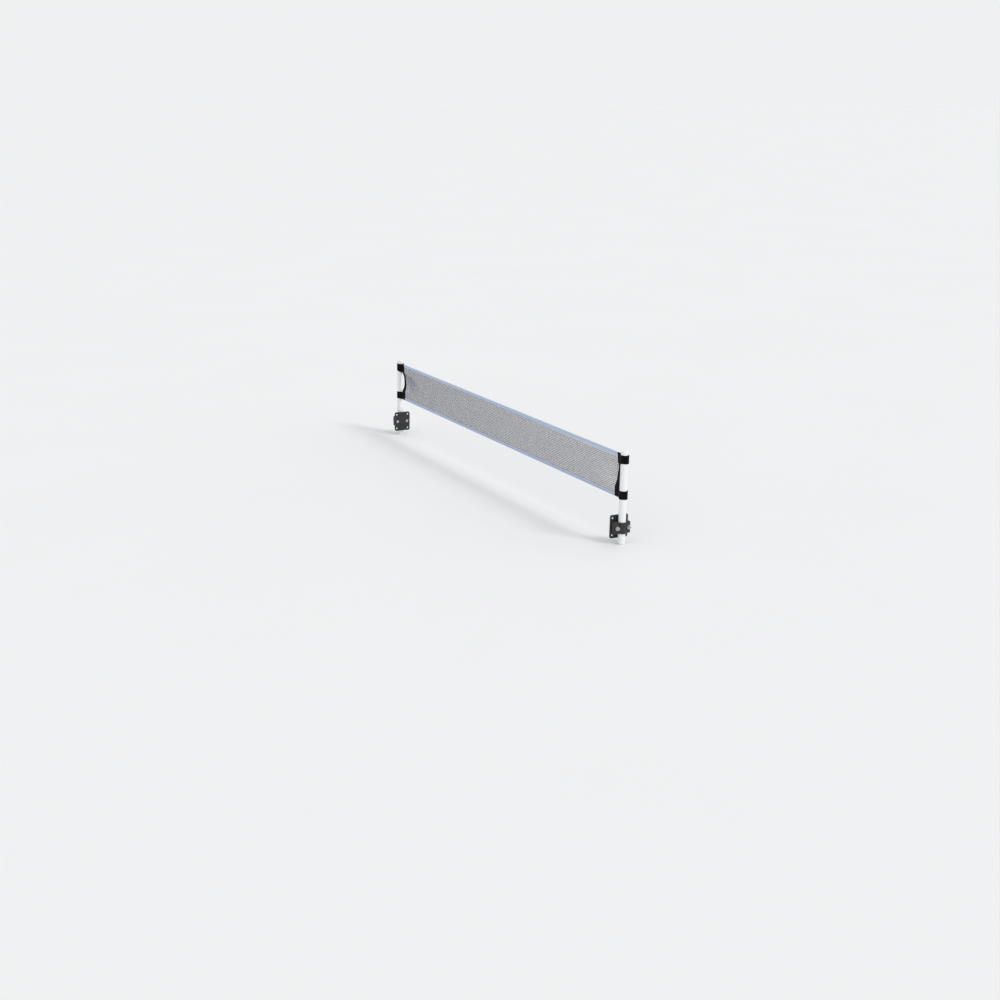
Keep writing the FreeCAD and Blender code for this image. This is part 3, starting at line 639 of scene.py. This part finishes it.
def screwShape():
    angles, under = roundAngles(screw["turns"]), earFace - washer["thickness"]
    face, end = under - screw["headHeight"], clamp["reach"] - nut["inset"]
    socket, head, shank = hexRadius(screw["socket"], angles), screw["headRadius"], screw["shankRadius"]
    knurled = head - screw["knurl"] * (0.5 + 0.5 * np.cos(angles * screw["knurls"]))
    depth, threadStart = face + screw["socketDepth"], end - screw["threaded"]
    (lipDepth, lip), (neckLength, neck), inset = screw["lip"], screw["neck"], screw["knurlInset"]
    rings = [(depth, 0), (depth, socket), (face + lipDepth, socket), (face, socket + lip)]
    rings += [(face + along, head - off) for along, off in screw["crown"]]
    rings += [(face + inset, knurled), (under - inset, knurled)]
    rings += [(under - along, head - off) for along, off in screw["underside"]]
    rings += [(under, shank + neck), (under + neckLength, shank), (threadStart, shank)]
    root, worn, pitch = shank - screw["threadDepth"], shank - screw["crestWear"], screw["pitch"]
    for crest in np.arange(threadStart + pitch, end - screw["tip"], pitch):
        rings += [(crest - 0.5 * pitch, root), (crest, worn)]
    return turnedShape(rings + [(end, shank - screw["tip"]), (end, 0)], angles, False)


def washerShape():
    soft, outer, inner, back = washer["soften"], washer["outer"], washer["inner"], earFace
    front = back - washer["thickness"]
    rings = [(front + soft, outer), (front, outer - soft), (front, inner + soft), (front + soft, inner),
             (back - soft, inner), (back, inner + soft), (back, outer - soft), (back - soft, outer)]
    return turnedShape(rings, roundAngles(washer["turns"]), True)


def nutShape():
    end, bore, soft = clamp["reach"] - nut["inset"], nut["bore"], nut["soften"]
    start, angles = end - nut["height"], roundAngles(nut["turns"])
    full = hexRadius(nut["flats"], angles)
    rings = [(start + inset, np.minimum(full, limit)) for inset, limit in nut["chamfer"]]
    rings += [(end - inset, np.minimum(full, limit)) for inset, limit in reversed(nut["chamfer"])]
    rings += [(end, bore + soft), (end - soft, bore), (start + soft, bore), (start, bore + soft)]
    return turnedShape(rings, angles, True)


def fasteners(name, shape):
    (x, y, z), faces = shape[0].T, shape[1]
    copies = [(toWorld(side, x, y + across, z + clamp["middle"]), faces)
              for side in ends.values() for across in clamp["screwPlaces"]]
    addPiece(name + "_plated", joinShapes(copies), "zincSteel", "posts", [name], 30)


for end, side in ends.items():
    postTube(side, end + "post_tube")
    postCap(side, end + "post_cap")
    footPlug(side, end + "foot_plug")
    clampBase(side, end + "clamp_base")
    clampSaddle(side, end + "clamp_saddle")
fasteners("clamp_screws", screwShape())
fasteners("clamp_washers", washerShape())
fasteners("clamp_nuts", nutShape())
print("posts and clamps built")


# cloth end panels: a D-shaped hollow on the post's side, a curved seam on the net's side
# each arc is three points of (inward, height); tucked is (starts, full, extra half thickness)

panel = {
    "top": 152.5 * mm, "bottom": 19.5 * mm, "half": 0.8 * mm, "postSide": 12.3 * mm, "rim": (0.9 * mm, 0.02),
    "hollow": ((18.5 * mm, 44.5 * mm), (28 * mm, 86 * mm), (12.3 * mm, 127.5 * mm)),
    "seam": ((31.5 * mm, 124 * mm), (39.5 * mm, 94 * mm), (45.8 * mm, 48 * mm)),
    "seamTop": (37 * mm, 139.5 * mm), "smoothing": 6, "rows": 140, "lanes": 18, "flat": (33.5 * mm, 133 * mm),
    "bow": 5.6 * mm, "bowSpan": (46 * mm, 126 * mm), "bowRise": (28 * mm, 22 * mm), "bowFade": 75 * mm,
    "tucked": ((145.5 * mm, 148.2 * mm, 1.55 * mm), (138 * mm, 141 * mm, 0.3 * mm),
               (32 * mm, 29 * mm, 0.3 * mm)),
    "tuckSpan": (6 * mm, 2.5 * mm), "slack": 0.12 * mm, "slackFade": 4 * mm, "slackWaves": (900, 260),
    "stitchLevels": (21 * mm, 151 * mm), "stitch": (2.6 * mm, 0.7 * mm, 0.22 * mm),
    "stitchRows": ((2 * mm, 20 * mm, 152 * mm), (5 * mm, 46 * mm, 126 * mm)),
}
binding = {"thickness": 0.42 * mm, "reach": 4.6 * mm, "nose": 0.35 * mm, "turnedIn": (0.4 * mm, 0.1 * mm),
           "span": (45.5 * mm, 126.5 * mm), "inset": 3.3 * mm, "innerShare": 0.7,
           "stitchSpan": (47 * mm, 125 * mm), "stitch": (2.4 * mm, 0.7 * mm, 0.2 * mm)}


def arcThrough(points, levels):
    # how far inward an arc through three points lies at each level
    (x1, y1), (x2, y2), (x3, y3) = points
    rows = np.array([[x2 - x1, y2 - y1], [x3 - x1, y3 - y1]]) * 2
    known = np.array([x2**2 - x1**2 + y2**2 - y1**2, x3**2 - x1**2 + y3**2 - y1**2])
    cx, cy = np.linalg.solve(rows, known)
    radius = math.hypot(x1 - cx, y1 - cy)
    return cx + math.copysign(1, x2 - cx) * np.sqrt(np.maximum(radius**2 - (levels - cy) ** 2, 0))


def panelEdges():
    levels = np.linspace(panel["bottom"], panel["top"], 400)
    (_, low), _, (_, high) = panel["hollow"]
    inHollow = (levels > low) & (levels < high)
    hollow = np.where(inHollow, arcThrough(panel["hollow"], levels), panel["postSide"])
    (arcInward, arcTop), _, (lowInward, arcLow) = panel["seam"]
    topInward, topLevel = panel["seamTop"]
    ramp = mixed(arcInward, topInward, (levels - arcTop) / (topLevel - arcTop))
    seam = np.select([levels < arcLow, levels > topLevel, levels > arcTop], [lowInward, topInward, ramp],
                     arcThrough(panel["seam"], levels))
    pad = panel["smoothing"]
    kernel = np.hanning(2 * pad + 1)
    padded = [np.pad(line, pad, mode="edge") for line in (hollow, seam)]
    return levels, [np.convolve(line, kernel / kernel.sum(), mode="valid") for line in padded]


edgeLevels, (hollowPlaces, seamPlaces) = panelEdges()


def hollowEdge(height):
    return np.interp(height, edgeLevels, hollowPlaces)


def seamEdge(height):
    return np.interp(height, edgeLevels, seamPlaces)


def insideHollow(heights, offset):
    # a line that keeps its distance from the hollow edge, and the edge's own direction across
    slope = np.gradient(hollowEdge(heights), heights)
    normal = np.stack([np.ones_like(slope), -slope], -1) / np.sqrt(1 + slope**2)[:, None]
    return hollowEdge(heights) + normal[:, 0] * offset, heights + normal[:, 1] * offset, normal


def bowAt(inward, height):
    # the cloth's slack middle stands back from the straight line between the straps
    (low, high), (below, above) = panel["bowSpan"], panel["bowRise"]
    rise = smoothStep(height, low, low + below) * smoothStep(height, high, high - above)
    past = np.maximum(np.asarray(inward) - seamEdge(height), 0)
    return panel["bow"] * rise * np.exp(-(past / panel["bowFade"]) ** 2)


def panelHalf(inward, height):
    # thicker where the ends of the two tapes are tucked between the panel's layers
    start, full = panel["tuckSpan"]
    nearSeam = smoothStep(inward, seamEdge(height) - start, seamEdge(height) - full)
    extra = [smoothStep(height, low, high) * depth for low, high, depth in panel["tucked"]]
    return panel["half"] + nearSeam * np.max(extra, axis=0)


def endPanel(side, name):
    heights = np.linspace(panel["bottom"], panel["top"], panel["rows"])
    left, right = hollowEdge(heights)[:, None], seamEdge(heights)[:, None]
    inward = mixed(left, right, np.linspace(0, 1, panel["lanes"]))
    level = np.broadcast_to(heights[:, None], inward.shape)
    fromEdge = np.minimum(inward - left, right - inward)
    fromEnd = np.minimum(level - panel["bottom"], panel["top"] - level)
    half = panelHalf(inward, level) * roundedRim(np.minimum(fromEdge, fromEnd), *panel["rim"])
    acrossWave, upWave = panel["slackWaves"]
    slack = panel["slack"] * np.sin(inward * acrossWave + level * upWave)
    middle = bowAt(inward, level) + slack * smoothStep(fromEdge, 0, panel["slackFade"])
    across = np.concatenate([middle - half, (middle + half)[:, ::-1]], axis=1)
    inward, level = (np.concatenate([grid, grid[:, ::-1]], axis=1) for grid in (inward, level))
    shape = sweptShape(toWorld(side, inward, across, level), inward, level)
    cloth = addPiece(name + "_cloth", shape, "blackCloth", "net", [name], 60)


def panelBinding(side, name):
    # a narrow tape folded over the hollow edge between the two straps
    heights = np.linspace(*binding["span"], 96)
    edge, _, normal = insideHollow(heights, 0)
    wrap, reach = panel["half"] + binding["thickness"], binding["reach"]
    inner = panel["half"] * binding["innerShare"]
    inset, turnedIn = binding["turnedIn"]
    leg = [(reach, turnedIn - wrap), (reach - inset, -wrap)]
    leg += [(share * reach, -wrap) for share in (0.7, 0.45, 0.2)]
    nose = [(-binding["nose"] * x, wrap * y) for x, y in arcPoints(1, -90, 90, 9)]
    section = leg + nose + [(a, -b) for a, b in reversed(leg)] + [(reach, inner), (reach, -inner)]
    along, across = np.array(section).T
    inward = edge[:, None] + normal[:, :1] * along
    level = heights[:, None] + normal[:, 1:] * along
    rings = toWorld(side, inward, bowAt(inward, level) + across, level)
    addPiece(name, sweptShape(rings, along, heights[:, None]), "blackWebbing", "net", sharpAngle=50)


def panelSeams(side, name):
    rows = []
    for face in (-1, 1):
        for offset, low, high in panel["stitchRows"]:
            heights = np.linspace(*panel["stitchLevels"], 120)
            heights = heights[(heights > low) & (heights < high)]
            inward = seamEdge(heights) - offset
            across = bowAt(inward, heights) + face * panelHalf(inward, heights)
            rows.append(stitchRow(toWorld(side, inward, across, heights), face, *panel["stitch"]))
        inward, heights, _ = insideHollow(np.linspace(*binding["stitchSpan"], 100), binding["inset"])
        across = bowAt(inward, heights) + face * (panel["half"] + binding["thickness"])
        rows.append(stitchRow(toWorld(side, inward, across, heights), face, *binding["stitch"]))
    addPiece(name, joinShapes(rows), "blackThread", "net")


# the mesh: knotted threads that end between the panel's layers and inside the two tapes

netMesh = {
    "columnPitch": 2.725 * mm, "columnHalfCount": 274, "rowPitch": 5.42 * mm, "firstRow": 26.2 * mm,
    "rowCount": 22, "thread": {"level": 0.44 * mm, "upright": 0.33 * mm},
    "knot": {"level": 0.5 * mm, "upright": 0.33 * mm}, "sides": {"level": 6, "upright": 5}, "tuck": 4 * mm,
    "intoTop": 5.2 * mm, "intoBottom": 2.4 * mm, "wander": 0.04 * mm, "zigzag": (0.13 * mm, 0.08 * mm),
    "crease": ((44 * mm, 115 * mm), (200 * mm, 92 * mm)), "creaseDepth": (1.2 * mm, 0.6 * mm),
    "creaseFade": (-8 * mm, 14 * mm), "creaseTail": 0.6, "creaseWidth": 10 * mm,
    "flat": (1.491, 0.1105), "leastArea": 0.0497,
}


def netCrossings():
    # where the threads cross, a little uneven, and which crossings lie on the net
    columns = np.arange(-netMesh["columnHalfCount"], netMesh["columnHalfCount"] + 1) * netMesh["columnPitch"]
    rows = netMesh["firstRow"] + np.arange(netMesh["rowCount"]) * netMesh["rowPitch"]
    shift = chance.normal(0, netMesh["wander"], (2, len(rows), len(columns)))
    lean = np.where(np.add.outer(np.arange(len(rows)), np.arange(len(columns))) % 2, 1, -1)
    shift += np.array(netMesh["zigzag"])[:, None, None] * lean
    farthest = halfSpan - seamEdge(rows) + netMesh["tuck"]
    return columns + shift[0], rows[:, None] + shift[1], np.abs(columns) < farthest[:, None]


def creaseAt(x, z):
    # a soft fold that runs down and inward from each panel, deeper at the left-hand end
    start, end = np.array(netMesh["crease"])
    length = np.linalg.norm(end - start)
    run = (end - start) / length
    inward, level = halfSpan - np.abs(x) - start[0], z - start[1]
    along, aside = inward * run[0] + level * run[1], inward * run[1] - level * run[0]
    fade = smoothStep(along, *netMesh["creaseFade"])
    fade = fade * smoothStep(along, length, length * netMesh["creaseTail"])
    return -np.where(x < 0, *netMesh["creaseDepth"]) * fade * np.exp(-(aside / netMesh["creaseWidth"]) ** 2)


def knottedLine(x, z, run):
    # one thread through its crossings, thicker at every second one; uprights run on into the tapes
    thin = netMesh["thread"][run]
    radii = np.where(np.arange(len(x)) % 2 == 0, netMesh["knot"][run], thin)
    if run == "upright":
        x, radii = np.r_[x[0], x, x[-1]], np.r_[thin, radii, thin]
        z = np.r_[z[0] - netMesh["intoBottom"], z, z[-1] + netMesh["intoTop"]]
    return np.stack([x, bowAt(halfSpan - np.abs(x), z) + creaseAt(x, z), z], -1), radii


def knottedNet():
    along, across, upright = np.eye(3)
    crossings = netCrossings()
    runs = {"level": (crossings, (across, upright), ["net_mesh"]),
            "upright": ([grid.T for grid in crossings], (along, across), [])}
    for run, (grids, axes, nodes) in runs.items():
        lines = [knottedLine(x[kept], z[kept], run) for x, z, kept in zip(*grids) if kept.sum() > 1]
        shapes = [tubeAlong(*line, netMesh["sides"][run], *axes) for line in lines]
        threads = addPiece("net_" + run + "_threads", joinShapes(shapes), "netThread", "net", nodes)


# tapes folded over the mesh's top and bottom edges, with their stitching, and the cord

tape = {
    "cloth": 0.5 * mm, "slot": 0.45 * mm, "hem": 2.05 * mm, "tuck": 2.4 * mm, "steps": 420,
    "ripple": 0.22 * mm, "rippleReach": 8 * mm, "rippleLift": 0.3,
    "waves": ((61, 1, 0), (143, 0.6, 1.3), (287, 0.4, 0.4)),
    "stitch": (3 * mm, 0.8 * mm, 0.26 * mm), "stitchInset": 1 * mm,
    "top": {"edge": 152.5 * mm, "height": 13 * mm, "inward": 37 * mm, "upward": -1, "narrowing": 3.6 * mm,
            "stitchLevels": (147.3 * mm, 141.2 * mm)},
    "bottom": {"edge": 19.5 * mm, "height": 9.5 * mm, "inward": 45.8 * mm, "upward": 1, "narrowing": 0,
               "stitchLevels": (27.2 * mm,)},
}
cord = {"strands": 3, "lay": 11 * mm, "offset": 0.72 * mm, "strandRadius": 0.74 * mm, "steps": 1600}


def keyholeSection():
    # the top tape across: outside up one leg, round the cord and down the other, then back inside
    slot, hem, cloth = tape["slot"], tape["hem"], tape["cloth"]
    centre, low = tape["top"]["edge"] - hem, tape["top"]["edge"] - tape["top"]["height"]
    section = []
    for way, half, radius, count in ((1, slot + cloth, hem, 25), (-1, slot, hem - cloth, 19)):
        leg = [(way * half, z) for z in np.linspace(low, centre - math.sqrt(radius**2 - half**2), 9)[:-1]]
        start = math.degrees(math.acos(half / radius))
        section += leg + arcPoints(radius, *(-start, 180 + start)[::way], count, 0, centre)
        section += [(-y, z) for y, z in reversed(leg)]
    return np.array(section), centre - hem


def foldSection():
    # the bottom tape across: outside down one leg and up the other, then back inside
    leg, high = tape["slot"] + tape["cloth"], tape["bottom"]["edge"] + tape["bottom"]["height"]
    fold = tape["bottom"]["edge"] + leg
    section, levels = [], np.linspace(high, fold, 8)
    for way, half, start, stop, count in ((-1, leg, 200, 340, 9), (1, tape["slot"], -30, -150, 5)):
        section += [(way * half, z) for z in levels] + arcPoints(half, start, stop, count, 0, fold)
        section += [(-way * half, z) for z in reversed(levels)]
    return np.array(section), fold


def rippleAt(x, away):
    # small waves of the free edge, growing with the distance from the fold
    waves = sum(share * np.sin(x * pace + shift) for pace, share, shift in tape["waves"])
    return tape["ripple"] * waves * np.clip(away / tape["rippleReach"], 0, 1) ** 1.5


def shortenedBy(x, away, edge):
    # the top tape's legs are shorter towards the left-hand end
    half, reach = halfSpan - tape[edge]["inward"], tape[edge]["height"] - 2 * tape["hem"]
    return tape[edge]["narrowing"] * np.clip(0.5 - x / half / 2, 0, 1) * away / reach


def foldedTape(edge, section, foldLevel):
    upward, half = tape[edge]["upward"], halfSpan - tape[edge]["inward"] + tape["tuck"]
    x = np.linspace(-half, half, tape["steps"])[:, None]
    y, z = section.T
    away = np.maximum((z - foldLevel) * upward, 0)
    waves = rippleAt(x, away)
    level = z + (tape["rippleLift"] * np.abs(waves) - shortenedBy(x, away, edge)) * upward
    rings = np.stack(np.broadcast_arrays(x, y + waves, level), -1)
    shape = sweptShape(rings, x, z)
    cloth = addPiece(edge + "_tape_cloth", shape, edge + "Tape", "net", [edge + "_tape"], 50)


def tapeStitches(edge, foldLevel):
    half = halfSpan - tape[edge]["inward"] - tape["stitchInset"]
    x, shapes = np.linspace(-half, half, 900), []
    for height in tape[edge]["stitchLevels"]:
        away = abs(height - foldLevel)
        level = height - shortenedBy(x, away, edge) * tape[edge]["upward"]
        for face in (-1, 1):
            y = rippleAt(x, away) + face * (tape["slot"] + tape["cloth"])
            shapes.append(stitchRow(np.stack([x, y, level], -1), face, *tape["stitch"]))
    addPiece(edge + "_tape_stitches", joinShapes(shapes), "paleThread", "net")


def twistedCord(name):
    # strands laid round each other inside the top hem
    half = halfSpan - tape["top"]["inward"]
    x = np.linspace(-half, half, cord["steps"])
    centre, shapes = tape["top"]["edge"] - tape["hem"], []
    for start in roundAngles(cord["strands"]):
        turn = x * 2 * math.pi / cord["lay"] + start
        path = np.stack([x, cord["offset"] * np.cos(turn), centre + cord["offset"] * np.sin(turn)], -1)
        shapes.append(tubeAlong(path, cord["strandRadius"], 7, *np.eye(3)[1:]))
    addPiece(name + "_strands", joinShapes(shapes), "whiteCord", "net", [name])


knottedNet()
for edge, (section, foldLevel) in {"top": keyholeSection(), "bottom": foldSection()}.items():
    foldedTape(edge, section, foldLevel)
    tapeStitches(edge, foldLevel)
twistedCord("top_cord")
print("net and tapes built")


# straps: a loop strap in front, and one strap behind whose flap laps over it; angles in degrees

strap = {
    "webbing": (25 * mm, 0.7 * mm), "pile": (22 * mm, 0.3 * mm), "lanes": 12, "selvedge": 0.12,
    "step": 0.7 * mm, "bend": 24 * mm, "standOff": 1.15 * mm, "loopRadius": 11.65 * mm, "loopEnd": 75,
    "pileRadius": 12.1 * mm, "pileAngles": (80, 244), "pileFuzz": 0.05 * mm, "flapRadius": 13.05 * mm,
    "flapEnd": 184, "flapLift": 0.35 * mm, "foldAngles": (50, 70),
    "middle": {"upper": 139 * mm, "lower": 33 * mm}, "sewnEnd": {"upper": 33.5 * mm, "lower": 44 * mm},
    "flare": {"upper": -5.5 * mm, "lower": 1.5 * mm}, "flareSpan": (-9 * mm, 20 * mm),
    "rim": (0.5 * mm, 0.05), "liftLength": 7 * mm, "wander": 0.12 * mm, "wanderWaves": (210, 40),
    "selvedgeWidth": 1.3 * mm, "boxHalf": 10.4 * mm, "boxInset": (1.6 * mm, 1.3 * mm),
    "stitch": (1.9 * mm, 0.6 * mm, 0.2 * mm), "stitchLift": 0.04 * mm,
}
hooks = {
    "tape": (23 * mm, 0.2 * mm), "radius": 12.6 * mm, "angles": (84, 176), "columns": (87, 174, 7),
    "rows": (-10.5 * mm, 10.6 * mm, 1.9 * mm), "thickness": 0.09 * mm, "root": 12.52 * mm,
    "profile": ((0, 0), (0, 0.14), (0.05, 0.25), (0.16, 0.3), (0.26, 0.24)),
}


def strapLine(radius, sewnEnd, endAngle, face):
    # plan line of a strap: sewn leg, slanting run to the post, then round it
    stand, bend = strap["standOff"], strap["bend"]
    touch = math.acos(radius / math.hypot(bend, stand)) + math.atan2(stand, bend)
    leg = [(x, stand) for x in np.linspace(sewnEnd, bend, 12)]
    run = np.linspace((bend, stand), (radius * math.cos(touch), radius * math.sin(touch)), 20)[1:]
    turn = arcPoints(radius, math.degrees(touch), endAngle if face > 0 else 360 - endAngle, 90)[1:]
    line = np.concatenate([leg, run, turn])
    reach = reachAlong(line)[-1]
    places = np.linspace(0, reach, int(reach / strap["step"]))
    line = pointsAt(line, places)
    for _ in range(8):
        line[1:-1] = (line[:-2] + 2 * line[1:-1] + line[2:]) / 4
    return line * (1, face), places


def arcLine(radius, startAngle, endAngle):
    count = int(abs(endAngle - startAngle) / 3)
    angles = np.radians(np.linspace(startAngle, endAngle, count))
    return np.array(arcPoints(radius, startAngle, endAngle, count)), radius * np.abs(angles - angles[0])


def stripSection(width, thickness):
    half, soft = width / 2, thickness / 2
    across = np.linspace(-half + soft, half - soft, strap["lanes"])
    fromEdge = (half - np.abs(across)) / strap["selvedgeWidth"]
    swell = soft * (1 + strap["selvedge"] * np.exp(-fromEdge ** 2))
    edge = arcPoints(soft, 50, -50, 3, half - soft)
    section = list(zip(across, swell)) + edge
    return np.array(section + list(zip(across[::-1], -swell[::-1])) + [(-x, y) for x, y in reversed(edge)])


def stripShape(side, route, height, size, fuzz=0, lift=0, flare=0):
    # a strip of cloth along a plan line; the side away from the post may be rough
    line, places = route
    along = np.gradient(line, axis=0)
    along /= np.linalg.norm(along, axis=1, keepdims=True)
    outward = np.stack([along[:, 1], -along[:, 0]], -1)
    outward *= np.sign((outward * line)[len(line) // 2:].sum())
    up, out = stripSection(*size).T
    thin = roundedRim(np.minimum(places, places[-1] - places), *strap["rim"])[:, None]
    raised = lift * smoothStep(places, places[-1] - strap["liftLength"], places[-1])[:, None] ** 1.5
    rough = chance.normal(0, 1, (len(line), len(up))) * fuzz
    depth = out * thin + raised + rough * (out > 0)
    inward, across = (line[:, i, None] + outward[:, i, None] * depth for i in range(2))
    # the edge nearer the net's middle widens towards the panel, to run on into its hollow edge
    towardPanel = smoothStep(line[:, 0], *strap["flareSpan"])[:, None]
    outerHalf = np.clip(np.sign(flare) * up / (size[0] / 2), 0, 1)
    alongWave, heightWave = strap["wanderWaves"]
    wander = strap["wander"] * np.sin(places * alongWave + height * heightWave)[:, None]
    level = height + up + wander + flare * towardPanel * outerHalf
    return sweptShape(toWorld(side, inward, across, level), places[:, None], up)


def loopStrap(side, end, level):
    node, height = end + level + "_loop_strap", strap["middle"][level]
    route = strapLine(strap["loopRadius"], strap["sewnEnd"][level], strap["loopEnd"], -1)
    shape = stripShape(side, route, height, strap["webbing"], flare=strap["flare"][level])
    addPiece(node + "_webbing", shape, "blackWebbing", "net", [node], 70)
    route = arcLine(strap["pileRadius"], *strap["pileAngles"])
    shape = stripShape(side, route, height, strap["pile"], fuzz=strap["pileFuzz"])
    addPiece(end + level + "_loop_pile", shape, "loopPile", "net")


def flapStrap(side, end, level):
    # one strap in place of the sewn leg and the flap
    name, height = end + level, strap["middle"][level]
    route = strapLine(strap["flapRadius"], strap["sewnEnd"][level], strap["flapEnd"], 1)
    shape = stripShape(side, route, height, strap["webbing"], 0, strap["flapLift"], strap["flare"][level])
    nodes = [name + "_back_strap", name + "_flap"]
    piece = addPiece(name + "_flap_strap", shape, "blackWebbing", nodes=nodes, sharpAngle=70)
    fold = arcPoints(strap["flapRadius"], *strap["foldAngles"], 2)
    start, stop = (tuple(toWorld(side, x, y, height).tolist()) for x, y in fold)
    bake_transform(piece)


def hookPad(side, end, level):
    # a base tape with rows of small hooks that face the post
    height, base, upright = strap["middle"][level], hooks["radius"], np.array([0, 0, 1])
    shapes = [stripShape(side, arcLine(base, *hooks["angles"]), height, hooks["tape"])[:2]]
    for angle in np.radians(np.arange(*hooks["columns"])):
        out = np.array([math.cos(angle), math.sin(angle), 0])
        aside = np.cross(upright, out)
        bent = [out * (hooks["root"] - rise * mm) + aside * run * mm for run, rise in hooks["profile"]]
        for row in np.arange(*hooks["rows"]):
            hook, faces = tubeAlong(bent + upright * (height + row), hooks["thickness"], 4, aside, upright)
            shapes.append((toWorld(side, *hook.T), faces))
    verts, faces = joinShapes(shapes)
    uv = np.stack([np.arctan2(verts[:, 1], halfSpan - side * verts[:, 0]) * base, verts[:, 2]], -1)
    node = end + level + "_hook_pad"
    addPiece(node + "_hooks", (verts, faces, uv), "hookTape", end + level + "_flap", [node])


def boxStitches(side, end, level):
    # a sewn box with a cross in it, on each strap's leg
    height, (nearInset, farInset) = strap["middle"][level], strap["boxInset"]
    near, far = strap["bend"] + nearInset, strap["sewnEnd"][level] - farInset
    low, high = height - strap["boxHalf"], height + strap["boxHalf"]
    corners, shapes = [(near, low), (far, low), (far, high), (near, high)], []
    for face in (-1, 1):
        across = face * (strap["standOff"] + strap["webbing"][1] / 2 + strap["stitchLift"])
        for start, stop in ((0, 1), (1, 2), (2, 3), (3, 0), (0, 2), (3, 1)):
            inward, levels = zip(corners[start], corners[stop])
            shapes.append(stitchRow(toWorld(side, inward, across, levels), face, *strap["stitch"]))
    addPiece(end + level + "_box_stitches", joinShapes(shapes), "blackThread", "net")


for end, side in ends.items():
    endPanel(side, end + "end_panel")
    panelBinding(side, end + "panel_binding")
    panelSeams(side, end + "panel_seams")
    for level in ("upper", "lower"):
        for addSoftPart in (loopStrap, flapStrap, hookPad, boxStitches):
            addSoftPart(side, end, level)
print("end panels and straps built")


# floor, light and camera

studio = {
    "floorHalf": 60.0, "floorGap": 0.2 * mm, "floorColour": (0.87, 0.87, 0.873, 1),
    "skyColour": (0.985, 0.992, 1.0, 1), "skyStrength": (0.5, 0.98), "skyBrightSide": (0.466, 0.885, 0.25),
    "seenSky": 0.88,
    "suns": {"keySun": ((0.75, 0.45, 0.85), 0.92, 16), "fillSun": ((0.5, -0.85, 0.55), 0.25, 40)},
}
camera = {
    "place": (4.4346, -2.3495, 1.2002), "focal": 1.552059, "sensorWidth": 36.0, "clip": (0.05, 100.0),
    "right": (0.46594286, 0.88462883, 0.01814057), "up": (-0.24271545, 0.10807125, 0.96405903),
    "back": (0.85087394, -0.45359942, 0.26506811),
}


def buildFloor():
    half, level = studio["floorHalf"], floorLevel - studio["floorGap"]
    corners = [(x * half, y * half, level) for x, y in ((-1, -1), (1, -1), (1, 1), (-1, 1))]
    mesh = bpy.data.meshes.new("floor")
    mesh.from_pydata(corners, [], [(0, 1, 2, 3)])
    material, tree, shader = newMaterial("paperFloor", {"Roughness": 0.85, "Specular IOR Level": 0.1})
    tree.links.new(mottled(tree, studio["floorColour"], 1.5, 0.01)["Color"], shader.inputs["Base Color"])
    mesh.materials.append(material)
    linkObject("floor", mesh)


def buildLight():
    world = bpy.data.worlds.new("studio")
    world.use_nodes = True
    tree = world.node_tree
    sky = tree.nodes["Background"]
    sky.inputs["Color"].default_value = studio["skyColour"]
    directions = {0: put(tree, "ShaderNodeTexCoord").outputs["Generated"], 1: studio["skyBrightSide"]}
    toward = put(tree, "ShaderNodeVectorMath", directions, operation="DOT_PRODUCT").outputs["Value"]
    seen = put(tree, "ShaderNodeLightPath").outputs["Is Camera Ray"]
    soft = mapRange(tree, toward, *studio["skyStrength"], fromLow=-1.0)
    level = put(tree, "ShaderNodeMix", {"Factor": seen, 2: soft, 3: studio["seenSky"]}).outputs[0]
    tree.links.new(level, sky.inputs["Strength"])
    bpy.context.scene.world = world
    for name, (direction, strength, spread) in studio["suns"].items():
        lamp = bpy.data.lights.new(name, "SUN")
        lamp.energy, lamp.angle = strength, math.radians(spread)
        linkObject(name, lamp).rotation_euler = Vector(direction).to_track_quat("Z", "Y").to_euler()
    bpy.context.scene.view_settings.view_transform = "Standard"


def buildCamera():
    lens = bpy.data.cameras.new("photoView")
    lens.sensor_width = camera["sensorWidth"]
    lens.lens = camera["focal"] * lens.sensor_width
    lens.clip_start, lens.clip_end = camera["clip"]
    turned = Matrix([camera["right"], camera["up"], camera["back"]]).transposed().to_4x4()
    holder = linkObject("photoView", lens)
    holder.matrix_world = Matrix.Translation(camera["place"]) @ turned
    bpy.context.scene.camera = holder


buildFloor()
buildLight()
buildCamera()
print("studio and camera ready")
